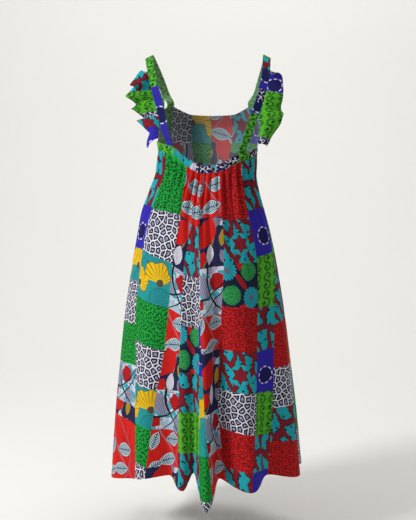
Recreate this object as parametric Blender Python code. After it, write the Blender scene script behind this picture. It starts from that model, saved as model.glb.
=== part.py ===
"""Wax print sun dress in its worn, hollow form: scooped elastic back, gathered flared skirt,
shoulder straps and a ruffle round each armhole.

Metres, +Z up. The back of the dress faces -Y, the wearer's left side is at -X, and the origin
lies midway between the tops of the two straps. Angles run round the body from the centre back,
towards +X, so 90 is the wearer's right side and 180 the centre front.
"""

import math

import bmesh
import bpy
import numpy as np

SEAM_GAP = 0.0003
SKIRT_WALL = 0.0016
CASING_WALL = 0.0030
BODICE_WALL = 0.0018
STRAP_WALL = 0.0025
RUFFLE_WALL = 0.0013

CASING_HEIGHT = 0.022
STRAP_WIDTH = 0.023
SIDE_SEAM = 88.0

# How square a level section is: 2 is an ellipse
SECTION_POWER = 2.2

# Level sections of the worn dress, from the chest down to the hem
SECTIONS = {
    "height": (-0.13, -0.17, -0.21, -0.25, -0.29, -0.325, -0.38, -0.44, -0.50, -0.60, -0.75, -0.90, -1.07, -1.29),
    "half_width": (0.150, 0.150, 0.148, 0.143, 0.139, 0.138, 0.152, 0.174, 0.190, 0.211, 0.236, 0.253, 0.270, 0.284),
    "back": (0.098, 0.100, 0.102, 0.103, 0.103, 0.104, 0.118, 0.134, 0.146, 0.160, 0.176, 0.188, 0.198, 0.208),
    "front": (0.115, 0.132, 0.146, 0.140, 0.122, 0.110, 0.119, 0.134, 0.146, 0.161, 0.178, 0.191, 0.203, 0.216),
    "shift": (0, 0, 0, 0, 0, -0.003, -0.009, -0.012, -0.010, -0.008, -0.006, -0.004, -0.002, 0.001),
}

# Height of the waist seam round the body
WAIST_SEAM = {
    "angle": (-180, -135, -88, -52, -25, 0, 25, 52, 88, 135, 180),
    "height": (-0.312, -0.298, -0.262, -0.270, -0.306, -0.325, -0.318, -0.292, -0.280, -0.302, -0.312),
}

# Height of the bodice's upper edge, by the angle from the centre front
NECK_EDGE = {
    "angle": (0, 25, 45, 58, 66, 78, 92),
    "left": (-0.170, -0.167, -0.150, -0.137, -0.149, -0.194, -0.240),
    "right": (-0.170, -0.167, -0.150, -0.137, -0.151, -0.202, -0.258),
}

# Height of the hem round the body
HEM = {
    "angle": (-180, -120, -88, -62, -48, -29, -12.5, -6, 5, 16, 35, 55, 70, 88, 120, 180),
    "height": (
        -1.235, -1.245, -1.250, -1.222, -1.203, -1.188, -1.214, -1.168,
        -1.255, -1.190, -1.216, -1.190, -1.206, -1.214, -1.236, -1.235,
    ),
}

# Large folds of the skirt: where each lies, how wide it is, how far it stands out or in at the
# hem, and the height at which it starts
FOLDS = {
    "angle": (-104, -82, -62, -44, -29, -12.5, -6, 5, 16.5, 35, 56, 71, 93, 112, 131, 150, 170, -170, -148, -126),
    "half_width": (11, 10, 8, 8, 8, 7, 5, 6.5, 7, 9, 10, 9, 11, 9, 11, 9, 11, 10, 10, 9),
    "depth": (
        -0.020, 0.012, -0.014, 0.016, -0.030, 0.022, -0.020, 0.062, -0.034, 0.030, -0.030, 0.018, -0.012,
        0.026, -0.024, 0.030, -0.020, 0.032, -0.026, 0.030,
    ),
    "start": (
        -0.45, -0.50, -0.45, -0.40, -0.42, -0.38, -0.50, -0.40, -0.45, -0.38, -0.42, -0.40, -0.50,
        -0.42, -0.45, -0.40, -0.45, -0.40, -0.45, -0.42,
    ),
}

# Gathers round the whole waist, fading out below the seam
GATHERS = 39
GATHER_DEPTH = 0.0034
GATHER_FADE = 0.085
CASING_RIB = 0.0011
COLUMNS_PER_GATHER = 4
SKIRT_ROWS = (0, 0.018, 0.045, 0.08, 0.125, 0.19, 0.28, 0.40, 0.54, 0.69, 0.85, 1)
CASING_ROWS = (0, 0.33, 0.67, 1)
BODICE_ROWS = (0, 0.12, 0.26, 0.40, 0.54, 0.68, 0.84, 1)
BODICE_COLUMNS = 44

# Each strap from the back up over the shoulder and down the front: its middle, measured
# outwards from the centre, and the direction that its upper side faces
STRAP_ANGLE_BACK = {"left": 53.6, "right": 55.6}
STRAP_ANGLE_FRONT = 58.0
STRAP_LEFT = {
    "out": (0.111, 0.119, 0.133, 0.152, 0.168, 0.164, 0.148, 0.133),
    "y": (-0.083, -0.094, -0.095, -0.066, 0.000, 0.040, 0.078, 0.088),
    "z": (-0.215, -0.165, -0.110, -0.045, 0.000, -0.018, -0.068, -0.110),
    "face_out": (0.45, 0.30, 0.30, 0.38, 0.45, 0.42, 0.40, 0.62),
    "face_y": (-0.88, -0.95, -0.92, -0.66, 0.00, 0.45, 0.80, 0.78),
    "face_z": (0.02, 0.10, 0.24, 0.64, 0.89, 0.79, 0.46, 0.10),
}
STRAP_RIGHT = {
    "out": (0.118, 0.133, 0.155, 0.168, 0.168, 0.164, 0.148, 0.133),
    "y": (-0.081, -0.093, -0.092, -0.063, 0.000, 0.040, 0.078, 0.088),
    "z": (-0.230, -0.180, -0.115, -0.048, 0.000, -0.018, -0.068, -0.110),
    "face_out": (0.50, 0.38, 0.34, 0.40, 0.45, 0.42, 0.40, 0.62),
    "face_y": (-0.86, -0.92, -0.90, -0.66, 0.00, 0.45, 0.80, 0.78),
    "face_z": (0.02, 0.10, 0.24, 0.64, 0.89, 0.79, 0.46, 0.10),
}
# How far up each panel a strap's tucked rows lie: 1 is the panel's edge
STRAP_IN_CASING = (0.35, 0.80, 1.30)
STRAP_IN_BODICE = (1.04, 0.97, 0.92)
STRAP_STEPS = 26
STRAP_COLUMNS = 4

# Outer edge of each ruffle, from the front of the shoulder round to the side seam
RUFFLE_LEFT = {
    "along": (0, 0.20, 0.38, 0.58, 0.75, 0.90, 1),
    "out": (0.188, 0.228, 0.241, 0.223, 0.206, 0.188, 0.162),
    "y": (0.036, 0.056, 0.066, 0.066, 0.050, 0.025, 0.000),
    "z": (-0.030, -0.072, -0.108, -0.150, -0.180, -0.216, -0.256),
}
RUFFLE_RIGHT = {
    "along": (0, 0.18, 0.36, 0.56, 0.75, 0.88, 1),
    "out": (0.188, 0.208, 0.214, 0.208, 0.209, 0.184, 0.160),
    "y": (0.036, 0.052, 0.064, 0.068, 0.056, 0.030, 0.006),
    "z": (-0.030, -0.062, -0.105, -0.150, -0.186, -0.226, -0.256),
}
RUFFLE_WAVES = {"left": 5, "right": 3}
RUFFLE_TIP = {"left": 0.011, "right": 0.004}
RUFFLE_WAVE_DEPTH = 0.013
RUFFLE_CROWN = 0.011
RUFFLE_STANDOFF = 0.0015
RUFFLE_COLUMNS_PER_WAVE = 10
RUFFLE_ROWS = (0, 0.12, 0.36, 0.66, 1)

# Step for measuring how a surface runs, as a share of its span
NUDGE = 1e-4

FABRIC_COLOURS = {
    "skirt_back_left": (0.16, 0.30, 0.22),
    "skirt_back_right": (0.30, 0.12, 0.12),
    "skirt_front": (0.10, 0.26, 0.34),
    "back_casing": (0.08, 0.20, 0.32),
    "bodice_front": (0.05, 0.12, 0.40),
    "strap_left": (0.35, 0.42, 0.06),
    "strap_right": (0.06, 0.14, 0.45),
    "ruffle_left": (0.20, 0.36, 0.12),
    "ruffle_right": (0.12, 0.30, 0.30),
}


def unit(vectors):
    return vectors / np.linalg.norm(vectors, axis=-1, keepdims=True)


def smooth_through(places, values, at):
    """Reads a smooth curve through (places, values). It never overshoots its own points."""
    places = np.asarray(places, float)
    values = np.asarray(values, float)
    steps = np.diff(places)
    slopes = np.diff(values) / steps
    same_way = slopes[:-1] * slopes[1:] > 0
    total = np.where(same_way, slopes[:-1] + slopes[1:], 1)
    inner = np.where(same_way, 2 * slopes[:-1] * slopes[1:] / total, 0)
    tangents = np.concatenate([slopes[:1], inner, slopes[-1:]])
    at = np.clip(at, places[0], places[-1])
    i = np.clip(np.searchsorted(places, at, side="right") - 1, 0, len(steps) - 1)
    t = (at - places[i]) / steps[i]
    rise = values[i + 1] - values[i]
    start = tangents[i] * steps[i]
    end = tangents[i + 1] * steps[i]
    return values[i] + t * (start + t * ((3 * rise - 2 * start - end) + t * (start + end - 2 * rise)))


def around(table, angle):
    """Reads a height round the body. The table's angles run from -180 to 180."""
    wrapped = (np.asarray(angle) + 180) % 360 - 180
    return smooth_through(table["angle"], table["height"], wrapped)


def angle_between(angle, centre):
    return (angle - centre + 180) % 360 - 180


def section(name, height):
    rising = np.asarray(SECTIONS["height"])[::-1]
    return smooth_through(rising, np.asarray(SECTIONS[name])[::-1], height)


def body_radius(angle, height):
    turn = np.radians(angle)
    behind = np.cos(turn) > 0
    depth = np.where(behind, section("back", height), section("front", height))
    across = (np.abs(np.sin(turn)) / section("half_width", height)) ** SECTION_POWER
    along = (np.abs(np.cos(turn)) / depth) ** SECTION_POWER
    return (across + along) ** (-1 / SECTION_POWER)


def placed(angle, radius, height):
    turn = np.radians(angle)
    x = section("shift", height) + radius * np.sin(turn)
    return np.stack([x, -radius * np.cos(turn), height], axis=-1)


def gather_wave(angle):
    """A wave for each gather, a little uneven in spacing and depth."""
    turn = np.radians(angle)
    drift = 0.5 * np.sin(3 * turn) + 0.3 * np.sin(7 * turn + 1)
    strength = 0.8 + 0.2 * np.sin(5 * turn + 2)
    return strength * np.cos(GATHERS * turn + drift)


def fold_offset(angle, height):
    offset = np.zeros(np.broadcast(angle, height).shape)
    for centre, half_width, depth, start in zip(*FOLDS.values()):
        run = np.clip((start - height) / (start - HEM_LEVEL), 0, None)
        away = angle_between(angle, centre) / half_width
        offset += depth * run**1.15 * np.exp(-(away**2))
    return offset


HEM_LEVEL = min(HEM["height"])


def skirt_surface(angle, down):
    """The middle of the skirt's cloth, from the waist seam (0) down to the hem (1)."""
    top = around(WAIST_SEAM, angle) - SEAM_GAP / 2
    height = top + down * (around(HEM, angle) - top)
    below = np.clip(top - height, 0, None)
    fade = np.exp(-((below / GATHER_FADE) ** 1.3))
    radius = body_radius(angle, height) + fold_offset(angle, height)
    return placed(angle, radius + GATHER_DEPTH * fade * gather_wave(angle), height)


def casing_surface(angle, up):
    """The middle of the elastic casing, from the waist seam (0) to its upper edge (1)."""
    height = around(WAIST_SEAM, angle) + SEAM_GAP / 2 + up * CASING_HEIGHT
    return placed(angle, body_radius(angle, height), height)


def neck_height(angle):
    from_front = np.abs(angle_between(angle, 180))
    left = smooth_through(NECK_EDGE["angle"], NECK_EDGE["left"], from_front)
    right = smooth_through(NECK_EDGE["angle"], NECK_EDGE["right"], from_front)
    return np.where(angle_between(angle, 0) < 0, left, right)


def bodice_surface(angle, up):
    """The middle of the bodice's cloth, from the waist seam (0) to its upper edge (1)."""
    bottom = around(WAIST_SEAM, angle) + SEAM_GAP / 2
    height = bottom + up * (neck_height(angle) - bottom)
    return placed(angle, body_radius(angle, height), height)


def surface_grid(surface, angles, rows):
    """Points and outward normals of a surface, a row for each share and a column for each angle."""
    angle, row = np.meshgrid(angles, rows)
    points = surface(angle, row)
    turn_step = 180 * NUDGE
    round_body = surface(angle + turn_step, row) - surface(angle - turn_step, row)
    along = surface(angle, row + NUDGE) - surface(angle, row - NUDGE)
    normals = unit(np.cross(round_body, along))
    outward = points * (1, 1, 0)
    inside_out = np.sum(normals * outward, axis=-1, keepdims=True) < 0
    return points, np.where(inside_out, -normals, normals)


def level(normals):
    """The same directions laid flat, for an edge that another piece is sewn to."""
    return unit(normals * (1, 1, 0))


def seam_trimmed(angles, radius=0.14):
    """Draws the two end columns in by half the seam gap."""
    trimmed = np.array(angles, float)
    half_gap = math.degrees(SEAM_GAP / 2 / radius)
    trimmed[0] += half_gap
    trimmed[-1] -= half_gap
    return trimmed


def polar_angle(points, shift):
    return np.degrees(np.arctan2(points[..., 0] - shift, -points[..., 1]))


def on_waist_seam(points, side):
    """Puts an edge's points back on the waist seam, half the gap above (1) or below (-1) it."""
    shift = section("shift", points[..., 2])
    points[..., 2] = around(WAIST_SEAM, polar_angle(points, shift)) + side * SEAM_GAP / 2


def cloth_wall(name, outer, inner):
    """One closed body between two grids of points, with a rim on all four edges."""
    rows, columns = outer.shape[:2]
    index = np.arange(rows * columns).reshape(rows, columns)
    inside = index + rows * columns
    faces = []
    for i in range(rows - 1):
        for j in range(columns - 1):
            faces.append((index[i, j], index[i, j + 1], index[i + 1, j + 1], index[i + 1, j]))
            faces.append((inside[i, j], inside[i + 1, j], inside[i + 1, j + 1], inside[i, j + 1]))
    for j in range(columns - 1):
        faces.append((index[0, j + 1], index[0, j], inside[0, j], inside[0, j + 1]))
        faces.append((index[-1, j], index[-1, j + 1], inside[-1, j + 1], inside[-1, j]))
    for i in range(rows - 1):
        faces.append((index[i, 0], index[i + 1, 0], inside[i + 1, 0], inside[i, 0]))
        faces.append((index[i + 1, -1], index[i, -1], inside[i, -1], inside[i + 1, -1]))
    points = np.concatenate([outer.reshape(-1, 3), inner.reshape(-1, 3)])
    mesh = bpy.data.meshes.new(name)
    mesh.from_pydata(points.tolist(), [], [tuple(map(int, face)) for face in faces])
    body = bmesh.new()
    body.from_mesh(mesh)
    bmesh.ops.recalc_face_normals(body, faces=body.faces)
    body.to_mesh(mesh)
    body.free()
    mesh.shade_smooth()
    mesh.set_sharp_from_angle(angle=math.radians(50))
    piece = bpy.data.objects.new(name, mesh)
    bpy.context.scene.collection.objects.link(piece)
    piece.data.materials.append(fabric(name))
    return piece


def fabric(name):
    material = bpy.data.materials.new(name + "_cotton")
    material.use_nodes = True
    shader = material.node_tree.nodes["Principled BSDF"]
    shader.inputs["Base Color"].default_value = (*FABRIC_COLOURS[name], 1)
    shader.inputs["Roughness"].default_value = 0.75
    shader.inputs["Metallic"].default_value = 0.0
    material.diffuse_color = (*FABRIC_COLOURS[name], 1)
    return material


def skirt_panel(name, start, end):
    """A gathered panel of the skirt between two seams."""
    gathers = (end - start) / 360 * GATHERS
    angles = np.linspace(start, end, round(gathers * COLUMNS_PER_GATHER) + 1)
    points, normals = surface_grid(skirt_surface, seam_trimmed(angles), SKIRT_ROWS)
    normals[0] = level(normals[0])
    outer = points + normals * SKIRT_WALL / 2
    inner = points - normals * SKIRT_WALL / 2
    on_waist_seam(outer[0], -1)
    on_waist_seam(inner[0], -1)
    return cloth_wall(name, outer, inner)


def back_casing():
    """The elastic casing across the back, ribbed by its gathers on the outside."""
    gathers = 2 * SIDE_SEAM / 360 * GATHERS
    angles = np.linspace(-SIDE_SEAM, SIDE_SEAM, round(gathers * COLUMNS_PER_GATHER) + 1)
    points, normals = surface_grid(casing_surface, seam_trimmed(angles), CASING_ROWS)
    normals[0] = level(normals[0])
    rib = CASING_RIB * (1 + gather_wave(angles))[None, :, None] / 2
    outer = points + normals * (CASING_WALL / 2 + rib)
    inner = points - normals * CASING_WALL / 2
    on_waist_seam(outer[0], 1)
    on_waist_seam(inner[0], 1)
    return cloth_wall("back_casing", outer, inner)


def bodice_front():
    """The front bodice, from side seam to side seam round the front."""
    angles = np.linspace(SIDE_SEAM, 360 - SIDE_SEAM, BODICE_COLUMNS + 1)
    points, normals = surface_grid(bodice_surface, seam_trimmed(angles), BODICE_ROWS)
    normals[0] = level(normals[0])
    outer = points + normals * BODICE_WALL / 2
    inner = points - normals * BODICE_WALL / 2
    on_waist_seam(outer[0], 1)
    on_waist_seam(inner[0], 1)
    return cloth_wall("bodice_front", outer, inner)


def tucked_rows(surface, side, middle_angle, across, shares, depth):
    """Rows of a strap that lie inside a panel's upper edge, taken from the panel's own points."""
    radius = 0.135
    angles = side * middle_angle + np.degrees(across / radius) * side
    points, normals = surface_grid(surface, angles, shares)
    return points - normals * depth


def strap_surface(side, route, back_angle):
    """A grid of the strap's middle surface, from its end in the casing to its end in the bodice."""
    across = np.linspace(-STRAP_WIDTH / 2, STRAP_WIDTH / 2, STRAP_COLUMNS + 1)
    back_depth = (CASING_WALL + STRAP_WALL) / 2 + 2 * SEAM_GAP
    back = tucked_rows(casing_surface, side, back_angle, across, STRAP_IN_CASING, back_depth)
    front_depth = (BODICE_WALL + STRAP_WALL) / 2 + 2 * SEAM_GAP
    front_angle = 180 - STRAP_ANGLE_FRONT
    front = tucked_rows(bodice_surface, side, front_angle, -across, STRAP_IN_BODICE, front_depth)
    middle = np.stack([side * np.array(route["out"]), route["y"], route["z"]], axis=-1)
    facing = unit(np.stack([side * np.array(route["face_out"]), route["face_y"], route["face_z"]], axis=-1))
    running = unit(np.gradient(middle, axis=0))
    outward = unit(np.cross(running, facing))
    outward *= np.sign(outward[:, :1] * side)
    free = middle[:, None] + outward[:, None] * across[None, :, None]
    rows = np.concatenate([back, free, front])
    spans = np.linalg.norm(np.diff(rows.mean(axis=1), axis=0), axis=-1)
    lengths = np.concatenate([[0], np.cumsum(spans)])
    at = np.linspace(0, lengths[-1], STRAP_STEPS + 1)
    grid = np.empty((len(at), len(across), 3))
    for j in range(len(across)):
        for k in range(3):
            grid[:, j, k] = smooth_through(lengths, rows[:, j, k], at)
    return grid


def grid_normals(grid):
    return unit(np.cross(np.gradient(grid, axis=1), np.gradient(grid, axis=0)))


def strap(name, side, grid):
    normals = grid_normals(grid) * side
    half = STRAP_WALL / 2
    return cloth_wall(name, grid + normals * half, grid - normals * half)


def ruffle_seam(side, strap_grid):
    """The line that the ruffle is sewn to: the strap's outer edge, then the bodice's armhole edge."""
    edge = strap_grid[:, -1]
    outward = unit(edge - strap_grid[:, -2])
    in_front = (edge[:, 1] > 0.03) & (edge[:, 2] > -0.125)
    on_strap = (edge + outward * RUFFLE_STANDOFF)[in_front]
    first = 180 - STRAP_ANGLE_FRONT - 8
    angles = side * np.linspace(first, SIDE_SEAM + 2.5, 12)
    on_bodice = bodice_surface(angles, np.ones_like(angles))
    on_bodice[:, 2] += RUFFLE_STANDOFF
    line = np.concatenate([on_strap, on_bodice])
    spans = np.linalg.norm(np.diff(line, axis=0), axis=-1)
    lengths = np.concatenate([[0], np.cumsum(spans)])
    return lengths / lengths[-1], line


def pointed(phase):
    """A wave with straight flanks and narrow crests, from -1 to 1."""
    return np.arcsin(0.97 * np.cos(phase)) / math.asin(0.97)


def ruffle(name, side, strap_grid, outline):
    """A folded strip that stands out from the armhole in waves, each with a tip at its free edge."""
    places, line = ruffle_seam(side, strap_grid)
    hand = "left" if side < 0 else "right"
    along = np.linspace(0, 1, RUFFLE_WAVES[hand] * RUFFLE_COLUMNS_PER_WAVE + 1)
    seam = np.stack([np.interp(along, places, line[:, k]) for k in range(3)], axis=-1)
    edge = np.stack(
        [
            side * smooth_through(outline["along"], outline["out"], along),
            smooth_through(outline["along"], outline["y"], along),
            smooth_through(outline["along"], outline["z"], along),
        ],
        axis=-1,
    )
    running = unit(np.gradient((seam + edge) / 2, axis=0))
    facing = unit(np.cross(running, edge - seam)) * side
    phase = 2 * math.pi * RUFFLE_WAVES[hand] * along
    edge = edge + unit(edge - seam) * (RUFFLE_TIP[hand] * pointed(phase + 0.4))[:, None]
    wave = RUFFLE_WAVE_DEPTH * (0.6 * pointed(phase) + 0.4 * np.cos(phase))
    grid = np.empty((len(RUFFLE_ROWS), len(along), 3))
    for i, out in enumerate(RUFFLE_ROWS):
        lift = RUFFLE_CROWN * 4 * out * (1 - out) + wave * out**1.3
        grid[i] = seam + out * (edge - seam) + facing * lift[:, None]
    normals = grid_normals(grid)
    half = RUFFLE_WALL / 2
    return cloth_wall(name, grid + normals * half, grid - normals * half)


def clear_scene():
    for thing in list(bpy.data.objects):
        bpy.data.objects.remove(thing, do_unlink=True)


def main():
    clear_scene()
    skirt_panel("skirt_back_left", -SIDE_SEAM, 0)
    skirt_panel("skirt_back_right", 0, SIDE_SEAM)
    skirt_panel("skirt_front", SIDE_SEAM, 360 - SIDE_SEAM)
    back_casing()
    bodice_front()
    left = strap_surface(-1, STRAP_LEFT, STRAP_ANGLE_BACK["left"])
    right = strap_surface(1, STRAP_RIGHT, STRAP_ANGLE_BACK["right"])
    strap("strap_left", -1, left)
    strap("strap_right", 1, right)
    ruffle("ruffle_left", -1, left, RUFFLE_LEFT)
    ruffle("ruffle_right", 1, right, RUFFLE_RIGHT)


main()
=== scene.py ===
"""Looks of a patchwork wax print sun dress, worn and hollow, seen from its open back.

Angles run round the body from the centre back towards +X: 90 is the wearer's right side and
180 the centre front. Heights are metres in the frame, with the strap tops at 0.
"""

import math

import bpy
import numpy as np
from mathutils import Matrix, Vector


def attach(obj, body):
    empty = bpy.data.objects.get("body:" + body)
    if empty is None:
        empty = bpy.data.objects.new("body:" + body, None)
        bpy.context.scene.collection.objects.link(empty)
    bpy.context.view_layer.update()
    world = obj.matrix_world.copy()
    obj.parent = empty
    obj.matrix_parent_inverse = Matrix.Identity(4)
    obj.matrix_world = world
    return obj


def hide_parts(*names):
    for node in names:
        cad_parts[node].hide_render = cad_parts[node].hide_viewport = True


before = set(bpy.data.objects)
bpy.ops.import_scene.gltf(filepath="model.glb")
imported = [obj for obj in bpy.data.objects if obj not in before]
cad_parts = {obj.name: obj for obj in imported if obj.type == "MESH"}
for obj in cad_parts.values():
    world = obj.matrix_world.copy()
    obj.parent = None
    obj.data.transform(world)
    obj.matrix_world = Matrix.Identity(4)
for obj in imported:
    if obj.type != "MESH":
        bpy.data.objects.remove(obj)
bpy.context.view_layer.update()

# The cut of the dress
SIDE_SEAM = 88.0
CASING_HEIGHT = 0.022
STRAP_WIDTH = 0.023
SEAM_GAP = 0.0003
SKIRT_CLOTH = 0.0007
CASING_CLOTH = 0.0022
BODICE_CLOTH = 0.0009
STRAP_CLOTH = 0.0022
RUFFLE_CLOTH = 0.0007
SECTION_POWER = 2.2

SECTIONS = {
    "height": (-0.13, -0.17, -0.21, -0.25, -0.29, -0.325, -0.38, -0.44, -0.50, -0.60, -0.75, -0.90,
        -1.07, -1.29),
    "half_width": (0.150, 0.150, 0.148, 0.143, 0.139, 0.138, 0.152, 0.174, 0.190, 0.211, 0.236, 0.253,
        0.270, 0.284),
    "back": (0.098, 0.100, 0.102, 0.103, 0.103, 0.104, 0.118, 0.134, 0.146, 0.160, 0.176, 0.188, 0.198,
        0.208),
    "front": (0.115, 0.132, 0.146, 0.140, 0.122, 0.110, 0.119, 0.134, 0.146, 0.161, 0.178, 0.191,
        0.203, 0.216),
    "shift": (0, 0, 0, 0, 0, -0.003, -0.009, -0.012, -0.010, -0.008, -0.006, -0.004, -0.002, 0.001),
}
WAIST_SEAM = {
    "angle": (-180, -135, -88, -52, -25, 0, 25, 52, 88, 135, 180),
    "height": (-0.312, -0.298, -0.262, -0.270, -0.306, -0.325, -0.318, -0.292, -0.280, -0.302, -0.312),
}
NECK_EDGE = {
    "angle": (0, 25, 45, 58, 66, 78, 92),
    "left": (-0.170, -0.167, -0.150, -0.137, -0.149, -0.194, -0.240),
    "right": (-0.170, -0.167, -0.150, -0.137, -0.151, -0.202, -0.258),
}
HEM = {
    "angle": (-180, -120, -88, -62, -48, -29, -12.5, -6, 5, 16, 35, 55, 70, 88, 120, 180),
    "height": (
        -1.235, -1.245, -1.250, -1.222, -1.203, -1.188, -1.214, -1.168,
        -1.255, -1.190, -1.216, -1.190, -1.206, -1.214, -1.236, -1.235,
    ),
}
HEM_LEVEL = min(HEM["height"])
FOLDS = {
    "angle": (-104, -82, -62, -44, -29, -12.5, -6, 5, 16.5, 35, 56, 71, 93, 112, 131, 150, 170, -170,
        -148, -126),
    "half_width": (11, 10, 8, 8, 8, 7, 5, 6.5, 7, 9, 10, 9, 11, 9, 11, 9, 11, 10, 10, 9),
    "depth": (
        -0.020, 0.012, -0.014, 0.016, -0.030, 0.022, -0.020, 0.062, -0.034, 0.030, -0.030, 0.018, -0.012,
        0.026, -0.024, 0.030, -0.020, 0.032, -0.026, 0.030,
    ),
    "start": (
        -0.45, -0.50, -0.45, -0.40, -0.42, -0.38, -0.50, -0.40, -0.45, -0.38, -0.42, -0.40, -0.50,
        -0.42, -0.45, -0.40, -0.45, -0.40, -0.45, -0.42,
    ),
}
GATHERS = 39
GATHER_DEPTH = 0.0090
GATHER_FADE = 0.13
PLEAT_DEPTH = 0.0068
PLEAT_FADE = 0.34

# Soft creases: where each one is, how it leans (degrees a metre), its half length
# (metres), its half width (degrees) and its depth (metres, inwards)
CREASES = {
    "angle": (-70, -46, -28, -12, 20, 33, 48, 64, 80, -78, 12, -38, 100, 118, 140, 158, 178, -165,
        -142, -112, 126, -100),
    "height": (
        -0.52, -0.62, -0.48, -0.70, -0.55, -0.84, -0.60, -0.50, -0.75, -0.92, -0.92, -1.02, -0.55,
        -0.80, -0.62, -0.95, -0.58, -0.85, -0.60, -0.70, -1.05, -1.02,
    ),
    "lean": (30, -18, 14, 10, -16, 20, -25, -34, 12, 22, 6, 16, -30, 18, 12, -14, 8, -16, 22, -28, 15, -12),
    "half_length": (
        0.12, 0.16, 0.10, 0.15, 0.14, 0.18, 0.12, 0.11, 0.16, 0.15, 0.14, 0.12, 0.14,
        0.16, 0.13, 0.15, 0.16, 0.13, 0.15, 0.12, 0.13, 0.14,
    ),
    "half_width": (2.4, 2.0, 2.2, 1.8, 2.0, 2.2, 2.2, 2.4, 2.4, 2.2, 1.6, 2.0, 2.4, 2.2, 2.4, 2.0, 2.4,
        2.2, 2.4, 2.2, 2, 2.2),
    "depth": (
        0.0022, 0.0020, 0.0018, 0.0020, 0.0022, 0.0024, 0.0020, 0.0024, 0.0018, 0.0022, 0.0018, 0.0022,
            0.0024,
        0.0020, 0.0022, 0.0024, 0.0020, 0.0022, 0.0020, 0.0024, 0.0018, 0.0020,
    ),
}

STRAP_ANGLE_BACK = {"left": 53.6, "right": 55.6}
STRAP_ANGLE_FRONT = 58.0
STRAP_UNDER_CASING = 0.00335
STRAP_UNDER_BODICE = 0.00275
STRAP_IN_CASING = (0.35, 0.80, 1.30)
STRAP_IN_BODICE = (1.04, 0.97, 0.92)
STRAP_LEFT = {
    "out": (0.111, 0.119, 0.133, 0.152, 0.168, 0.164, 0.148, 0.133),
    "y": (-0.083, -0.094, -0.095, -0.066, 0.000, 0.040, 0.078, 0.088),
    "z": (-0.215, -0.165, -0.110, -0.045, 0.000, -0.018, -0.068, -0.110),
    "face_out": (0.45, 0.30, 0.30, 0.38, 0.45, 0.42, 0.40, 0.62),
    "face_y": (-0.88, -0.95, -0.92, -0.66, 0.00, 0.45, 0.80, 0.78),
    "face_z": (0.02, 0.10, 0.24, 0.64, 0.89, 0.79, 0.46, 0.10),
}
STRAP_RIGHT = {
    "out": (0.118, 0.133, 0.155, 0.168, 0.168, 0.164, 0.148, 0.133),
    "y": (-0.081, -0.093, -0.092, -0.063, 0.000, 0.040, 0.078, 0.088),
    "z": (-0.230, -0.180, -0.115, -0.048, 0.000, -0.018, -0.068, -0.110),
    "face_out": (0.50, 0.38, 0.34, 0.40, 0.45, 0.42, 0.40, 0.62),
    "face_y": (-0.86, -0.92, -0.90, -0.66, 0.00, 0.45, 0.80, 0.78),
    "face_z": (0.02, 0.10, 0.24, 0.64, 0.89, 0.79, 0.46, 0.10),
}
RUFFLE_LEFT = {
    "along": (0, 0.20, 0.38, 0.58, 0.75, 0.90, 1),
    "out": (0.188, 0.228, 0.241, 0.223, 0.206, 0.188, 0.162),
    "y": (0.036, 0.056, 0.066, 0.066, 0.050, 0.025, 0.000),
    "z": (-0.030, -0.072, -0.108, -0.150, -0.180, -0.216, -0.256),
}
RUFFLE_RIGHT = {
    "along": (0, 0.18, 0.36, 0.56, 0.75, 0.88, 1),
    "out": (0.188, 0.208, 0.214, 0.208, 0.209, 0.184, 0.160),
    "y": (0.036, 0.052, 0.064, 0.068, 0.056, 0.030, 0.006),
    "z": (-0.030, -0.062, -0.105, -0.150, -0.186, -0.226, -0.256),
}
RUFFLE_WAVES = {"left": 5, "right": 3}
RUFFLE_TIP = {"left": 0.011, "right": 0.004}
RUFFLE_WAVE_DEPTH = 0.013
RUFFLE_CROWN = 0.011
RUFFLE_STANDOFF = 0.0015

# The printed patchwork. A strip of patches runs down between two edges, whose angles are
# given at these shares of the way from waist to hem
EDGE_LEVELS = (0, 0.15, 0.30, 0.45, 0.60, 0.75, 0.90, 1)
STRIP_EDGES = {
    "left_side": (-88, -88, -88, -88, -88, -88, -88, -88),
    "left_first": (-61.5, -60, -63, -63, -58, -55, -51.5, -50),
    "left_second": (-26, -22, -27.5, -30, -33, -37.5, -40, -41.5),
    "left_third": (-5, -8.5, -15.5, -16, -17, -16.5, -16.5, -16.5),
    "centre": (0, 0, 0, 0, 0, 0, 0, 0),
    "ridge": (1.2, 1.2, 1.2, 1.4, 3, 5, 7.5, 9),
    "right_first": (25, 26, 24, 20.5, 17.5, 16, 19, 22),
    "right_second": (53, 55, 57, 53, 48.5, 43.5, 38, 35),
    "right_third": (84, 83, 79, 67.5, 63, 60.5, 57.5, 55),
    "right_side": (88, 88, 88, 88, 88, 88, 88, 88),
}


def unit(vectors):
    return vectors / np.linalg.norm(vectors, axis=-1, keepdims=True)


def smooth_through(places, values, at):
    """Reads a smooth curve through (places, values). It never overshoots its own points."""
    places = np.asarray(places, float)
    values = np.asarray(values, float)
    steps = np.diff(places)
    slopes = np.diff(values) / steps
    same_way = slopes[:-1] * slopes[1:] > 0
    total = np.where(same_way, slopes[:-1] + slopes[1:], 1)
    inner = np.where(same_way, 2 * slopes[:-1] * slopes[1:] / total, 0)
    tangents = np.concatenate([slopes[:1], inner, slopes[-1:]])
    at = np.clip(at, places[0], places[-1])
    i = np.clip(np.searchsorted(places, at, side="right") - 1, 0, len(steps) - 1)
    t = (at - places[i]) / steps[i]
    rise = values[i + 1] - values[i]
    start = tangents[i] * steps[i]
    end = tangents[i + 1] * steps[i]
    return values[i] + t * (start + t * ((3 * rise - 2 * start - end) + t * (start + end - 2 * rise)))


def around(table, angle):
    wrapped = (np.asarray(angle) + 180) % 360 - 180
    return smooth_through(table["angle"], table["height"], wrapped)


def angle_between(angle, centre):
    return (angle - centre + 180) % 360 - 180


def section(name, height):
    rising = np.asarray(SECTIONS["height"])[::-1]
    return smooth_through(rising, np.asarray(SECTIONS[name])[::-1], height)


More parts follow.
